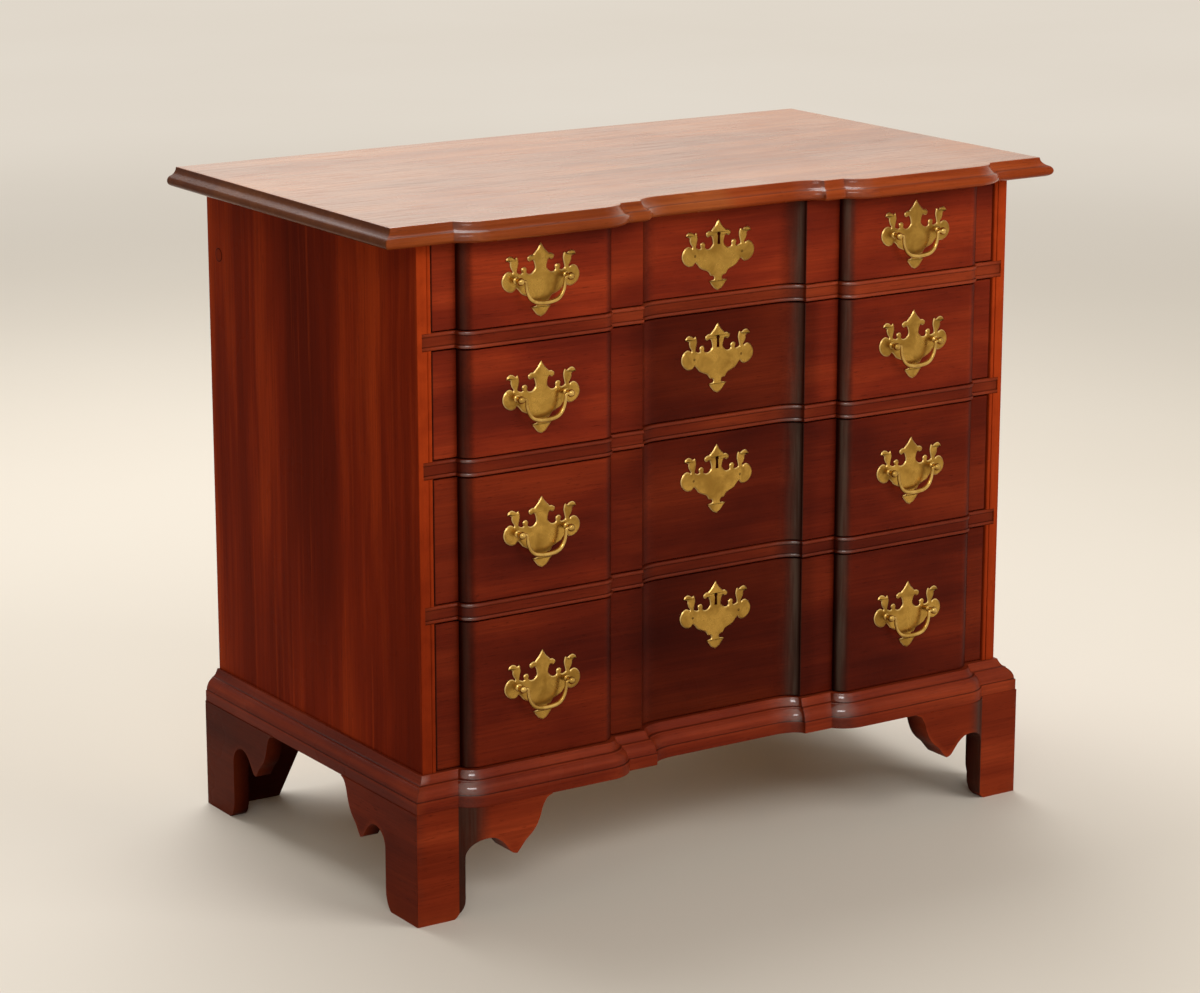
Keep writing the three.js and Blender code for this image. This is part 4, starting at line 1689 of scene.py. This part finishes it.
@dataclass
class Drawer:
    """A drawer: the blocked front, two pulls and a key plate. Its box stays as it is built.

    The opening is its bottom and top in the case. The pins' profile is in millimetres."""

    number: int
    opening: tuple[float, float]
    tint: float
    hollow_shade: float
    clear_below: float = 0.001
    clear_above: float = 0.002
    clear_side: float = 0.0015
    inset: float = 0.002
    back: float = -0.187
    soft: float = 0.0014
    pull_x: float = 0.258
    key_drop: float = 0.053
    eye_radius: float = 0.0024
    eye_rise: float = 0.022
    slot_half: float = 0.002
    slot_rise: float = 0.010
    cut_before: float = 0.010
    cut_behind: float = 0.011
    pin_x: float = 0.0325
    pin_drop: float = 0.001
    pin_profile: Pairs = ((0, -0.2), (1.5, -0.2), (1.5, 0.1), (1.2, 0.5), (0.7, 0.75), (0, 0.85))
    hollow_shade_across: Pairs = ((-0.14, 0.0), (-0.09, 0.8), (0.02, 0.75), (0.12, 0.65), (0.14, 0.0))
    painted_shade_across: Pairs = (
        (-0.17, 0.0), (-0.15, 0.18), (-0.115, 0.18), (-0.105, 0.0), (0.1, 0.0), (0.16, 0.12),
    )

    @property
    def name(self) -> str:
        """The drawer's body."""
        return f"drawer_{self.number}"

    @property
    def half(self) -> float:
        """Half of the front's width."""
        return CASE.inner - self.clear_side

    def front(self) -> Surface:
        """The drawer front: the blocked line carried up, with its edges rounded over.

        Returns:
            The surface.
        """
        low, high = self.opening[0] + self.clear_below, self.opening[1] - self.clear_above
        t = np.linspace(0, math.pi / 2, 6)
        low_z = low + self.soft * (1 - np.cos(t))
        low_in = self.soft * (1 - np.sin(t))
        middle = np.linspace(low + self.soft, high - self.soft, 9)[1:-1]
        rim = [self.soft + LID_RIM]
        z = np.concatenate([[low], low_z, middle, high + low - low_z[::-1], [high]])
        extra = np.concatenate([rim, low_in, np.zeros_like(middle), low_in[::-1], rim])
        line = CASE_PLAN.line(-self.inset - extra, self.half - self.soft)
        strip = CASE_PLAN.front + self.inset + extra
        turn = np.linspace(0, math.pi / 2, 5)[1:]
        corner = row_points(len(z), *(
            (self.half - self.soft + self.soft * np.sin(a), strip + self.soft * (1 - np.cos(a)))
            for a in turn
        ))
        behind = row_points(len(z), (self.half, self.back), (-self.half, self.back))
        plan = np.concatenate([line, corner, behind, corner[:, ::-1] * (-1, 1)], axis=1)
        marks = shoulder_marks(plan, strength=1.0)
        marks["wear"] = np.clip(extra / self.soft * 2, 0, 1)[:, None] * 0.3 + 0 * marks["bloom"]
        # Painted shade across the hollow, on the strip beside the left block and on the right
        # block, over the painted shade of the shoulders and coves.
        hollow_shade = graded(plan[..., 0], self.hollow_shade_across) * self.hollow_shade
        marks["shade"] = np.maximum(marks["shade"], hollow_shade + graded(plan[..., 0], self.painted_shade_across))
        plain_lids(marks)
        return Surface.skin(at_heights(plan, z), **marks)

    def keyhole(self, z: float) -> np.ndarray:
        """A keyhole's outline: a round eye over a straight slot.

        Args:
            z: the height of the key plate's middle.

        Returns:
            n by 2 places, anticlockwise as seen from the front.
        """
        angle = np.linspace(math.radians(-50), math.radians(230), 22)
        eye = self.eye_radius * np.stack([np.cos(angle), np.sin(angle)], axis=-1)
        slot = [(-self.slot_half, self.slot_rise), (self.slot_half, self.slot_rise)]
        return np.concatenate([eye + (0.0, self.eye_rise), slot]) + (0.0, z)

    def key_plate(
        self, brass: bpy.types.Material, keyhole: np.ndarray, hollow: float, z: float
    ) -> None:
        """Makes the key plate and its two pins.

        Args:
            brass: their finish.
            keyhole: n by 2 places of the keyhole's outline.
            hollow: the Y of the hollow's face.
            z: the height of the plate's middle.
        """
        plate = Plate(0.0, z, hollow).surface(keyhole).build(f"{self.name}_escutcheon", sharp=24)
        dress(plate, brass, self.name)
        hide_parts(f"{self.name}_key_plate")
        dome = np.array(self.pin_profile) * MM
        for side, x in (("left", -self.pin_x), ("right", self.pin_x)):
            pin = turned(dome, x, hollow - Plate.thickness, z - self.pin_drop, sides=16)
            pin.marks["shade"] = np.full(len(pin.points), 0.75)
            dress(pin.build(f"{self.name}_{side}_pin", sharp=60), brass, self.name)

    def build(self, brass: bpy.types.Material, bright: bpy.types.Material) -> None:
        """Makes the drawer's pieces.

        Args:
            brass: finish of the plates.
            bright: finish of the posts and bails.
        """
        wood = drawer_wood(self.number, self.tint).material()
        key_line = self.opening[1] - self.key_drop
        hollow = CASE_PLAN.front + self.inset + CASE_PLAN.recess
        piece = self.front().build(f"{self.name}_blocked_front", sharp=40)
        keyhole = self.keyhole(key_line)
        cut_out(piece, prism(keyhole, hollow - self.cut_before, hollow + self.cut_behind))
        dress(piece, wood, self.name)
        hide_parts(f"{self.name}_front")
        self.key_plate(brass, keyhole, hollow, key_line)
        face = CASE_PLAN.front + self.inset - CASE_PLAN.proud
        line = sum(self.opening) / 2
        for side, x in (("left", -self.pull_x), ("right", self.pull_x)):
            Pull(self.name, side, x, line, face).build(brass, bright)


# How light each drawer's wood is and how much painted shade its hollow takes, from the top drawer
# down.
DRAWER_TINTS = (0.9, 0.84, 0.6, 0.52)
DRAWER_HOLLOW_SHADES = (0.05, 0.85, 0.5, 0.68)


@dataclass
class HiddenBoards:
    """The plain boards inside and behind, which keep their built shape. The fibres run along X,
    apart from the boards whose names have one of the endings."""

    endings: tuple[tuple[str, Grain], ...] = (
        ("back_panel", Grain.ALONG_Z),
        ("_left_side", Grain.ALONG_Y),
        ("_right_side", Grain.ALONG_Y),
    )

    def build(self) -> None:
        """Gives every board that still shows its plain wood."""
        finishes = {
            grain: PlainWood(f"plain_wood_{grain.name.lower()}", grain).material()
            for grain in Grain
        }
        for name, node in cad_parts.items():
            if node.hide_render:
                continue
            matches = [grain for ending, grain in self.endings if name.endswith(ending)]
            for slot in node.material_slots:
                slot.material = finishes[matches[0] if matches else Grain.ALONG_X]
            log.info("%s: plain wood", name)


# Studio


@dataclass(frozen=True)
class Lamp:
    """A soft rectangular lamp. Its power is in watts, and mirrored tells whether glossy surfaces
    show it."""

    name: str
    place: Triple
    width: float
    height: float
    power: float
    mirrored: bool = True
    aim: Triple = (0.0, 0.0, 0.4)

    def hang(self) -> None:
        """Hangs the lamp in its place, turned towards its aim."""
        light = bpy.data.lights.new(self.name, "AREA")
        light.shape = "RECTANGLE"
        light.size = self.width
        light.size_y = self.height
        light.energy = self.power
        lamp = bpy.data.objects.new(self.name, light)
        lamp.visible_glossy = self.mirrored
        lamp.location = self.place
        way = np.array(self.place) - np.array(self.aim)
        pitch = math.atan2(math.hypot(way[0], way[1]), way[2])
        lamp.rotation_euler = (pitch, 0.0, math.atan2(way[0], -way[1]))
        bpy.context.scene.collection.objects.link(lamp)


@dataclass
class Studio:
    """The floor, the sky, the camera and the lamps. Angles are in degrees, and the lens and the
    sensor in millimetres."""

    camera_place: Triple = (-2.2797, -3.4300, 1.4274)
    pitch: float = 14.23
    yaw: float = -33.31
    lens: float = 106.1
    sensor: float = 36.0
    sky_level: float = 0.3
    sky: Colour = (1.0, 0.94, 0.82, 1.0)
    floor_reach: float = 14.0
    fade: tuple[float, float] = (1.6, 6.0)
    floor_tones: tuple[Colour, Colour] = (srgb(218, 210, 198), srgb(212, 203, 190))
    far_floor: Colour = srgb(215, 207, 194)
    glow: float = 1.1
    lamps: tuple[Lamp, ...] = (
        Lamp("back_lamp", (0.2, 1.9, 3.2), 3.0, 3.0, 125.0),
        Lamp("key_lamp", (1.7, -3.1, 2.4), 2.4, 2.4, 90.0, mirrored=False),
        Lamp("left_lamp", (-2.0, -3.2, 2.7), 2.0, 0.7, 27.0),
    )

    def floor(self) -> None:
        """Lays a wide pale floor: a flat grid, whose paint glows evenly far from the chest."""
        side = np.linspace(-self.floor_reach, self.floor_reach, 3)
        x, y = np.meshgrid(side, side)
        points = np.stack([x, y, 0 * x], axis=-1).reshape(-1, 3)
        quads = grid_quads(3, 3, False).tolist()
        piece = Surface(points, quads).build("floor")
        shader = Shader("floor_paint")
        paint = shader.mix(shader.noise(0.7), *self.floor_tones)
        here = shader.node("ShaderNodeTexCoord", {}, {}, "Object")
        away = shader.node("ShaderNodeVectorMath", {"operation": "LENGTH"}, {0: here}, "Value")
        far = away.spread(*self.fade) * shader.seen()
        matt = {"Base Color": paint, "Roughness": 0.7}
        ground = shader.node("ShaderNodeBsdfPrincipled", {}, matt)
        light = shader.node("ShaderNodeEmission", {}, {"Color": paint, "Strength": self.glow})
        blend = shader.node("ShaderNodeMixShader", {}, {0: far, 1: ground, 2: light})
        shader.node("ShaderNodeOutputMaterial", {}, {"Surface": blend})
        piece.data.materials.append(shader.material)

    def world(self) -> None:
        """A soft sky that fills the shadows. It is brighter where it is mirrored, and has the far
        floor's colour where it is seen."""
        world = bpy.data.worlds.new("sky")
        bpy.context.scene.world = world
        world.use_nodes = True
        shader = Shader("sky", tree=world.node_tree)
        level = shader.seen() * (1 - self.sky_level) + self.sky_level
        direct = shader.node("ShaderNodeLightPath", {}, {}, "Is Camera Ray")
        haze = tuple(part * self.glow for part in self.far_floor)
        colour = shader.mix(direct, self.sky, haze)
        sky = shader.node("ShaderNodeBackground", {}, {"Color": colour, "Strength": level})
        shader.node("ShaderNodeOutputWorld", {}, {"Surface": sky})

    def camera(self) -> None:
        """Sets the camera where the photograph was taken from."""
        data = bpy.data.cameras.new("camera")
        data.lens = self.lens
        data.sensor_width = self.sensor
        camera = bpy.data.objects.new("camera", data)
        camera.location = self.camera_place
        camera.rotation_euler = (math.radians(90 - self.pitch), 0.0, math.radians(self.yaw))
        bpy.context.scene.collection.objects.link(camera)
        bpy.context.scene.camera = camera

    def build(self) -> None:
        """Sets up everything that is not the chest."""
        bpy.context.scene.view_settings.view_transform = "Standard"
        self.floor()
        self.world()
        self.camera()
        for lamp in self.lamps:
            lamp.hang()


def main() -> None:
    """Builds the chest and the studio in order."""
    logging.basicConfig(level=logging.INFO, format="%(message)s")
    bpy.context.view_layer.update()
    TopBoard().build()
    SideBoards().build()
    across_wood = moulding_wood(Grain.ALONG_X).material()
    back_wood = moulding_wood(Grain.ALONG_Y).material()
    for number, low in enumerate(reversed(CASE.rail_lows), start=1):
        Rail(number, low).build(across_wood)
    BaseMoulding().build(across_wood, back_wood)
    # The boards that run back take the wood darkened to 0.8: painted shade on the feet's sides.
    BracketFeet().build(
        foot_wood(Grain.ALONG_X, 1.0).material(), foot_wood(Grain.ALONG_Y, 0.8).material())
    brass = PLATE_BRASS.material()
    bright = PULL_BRASS.material()
    drawers = zip(CASE.openings, DRAWER_TINTS, DRAWER_HOLLOW_SHADES)
    for number, (opening, tint, hollow_shade) in enumerate(drawers, start=1):
        Drawer(number, opening, tint, hollow_shade).build(brass, bright)
    HiddenBoards().build()
    Studio().build()


if __name__ == "__main__":
    main()
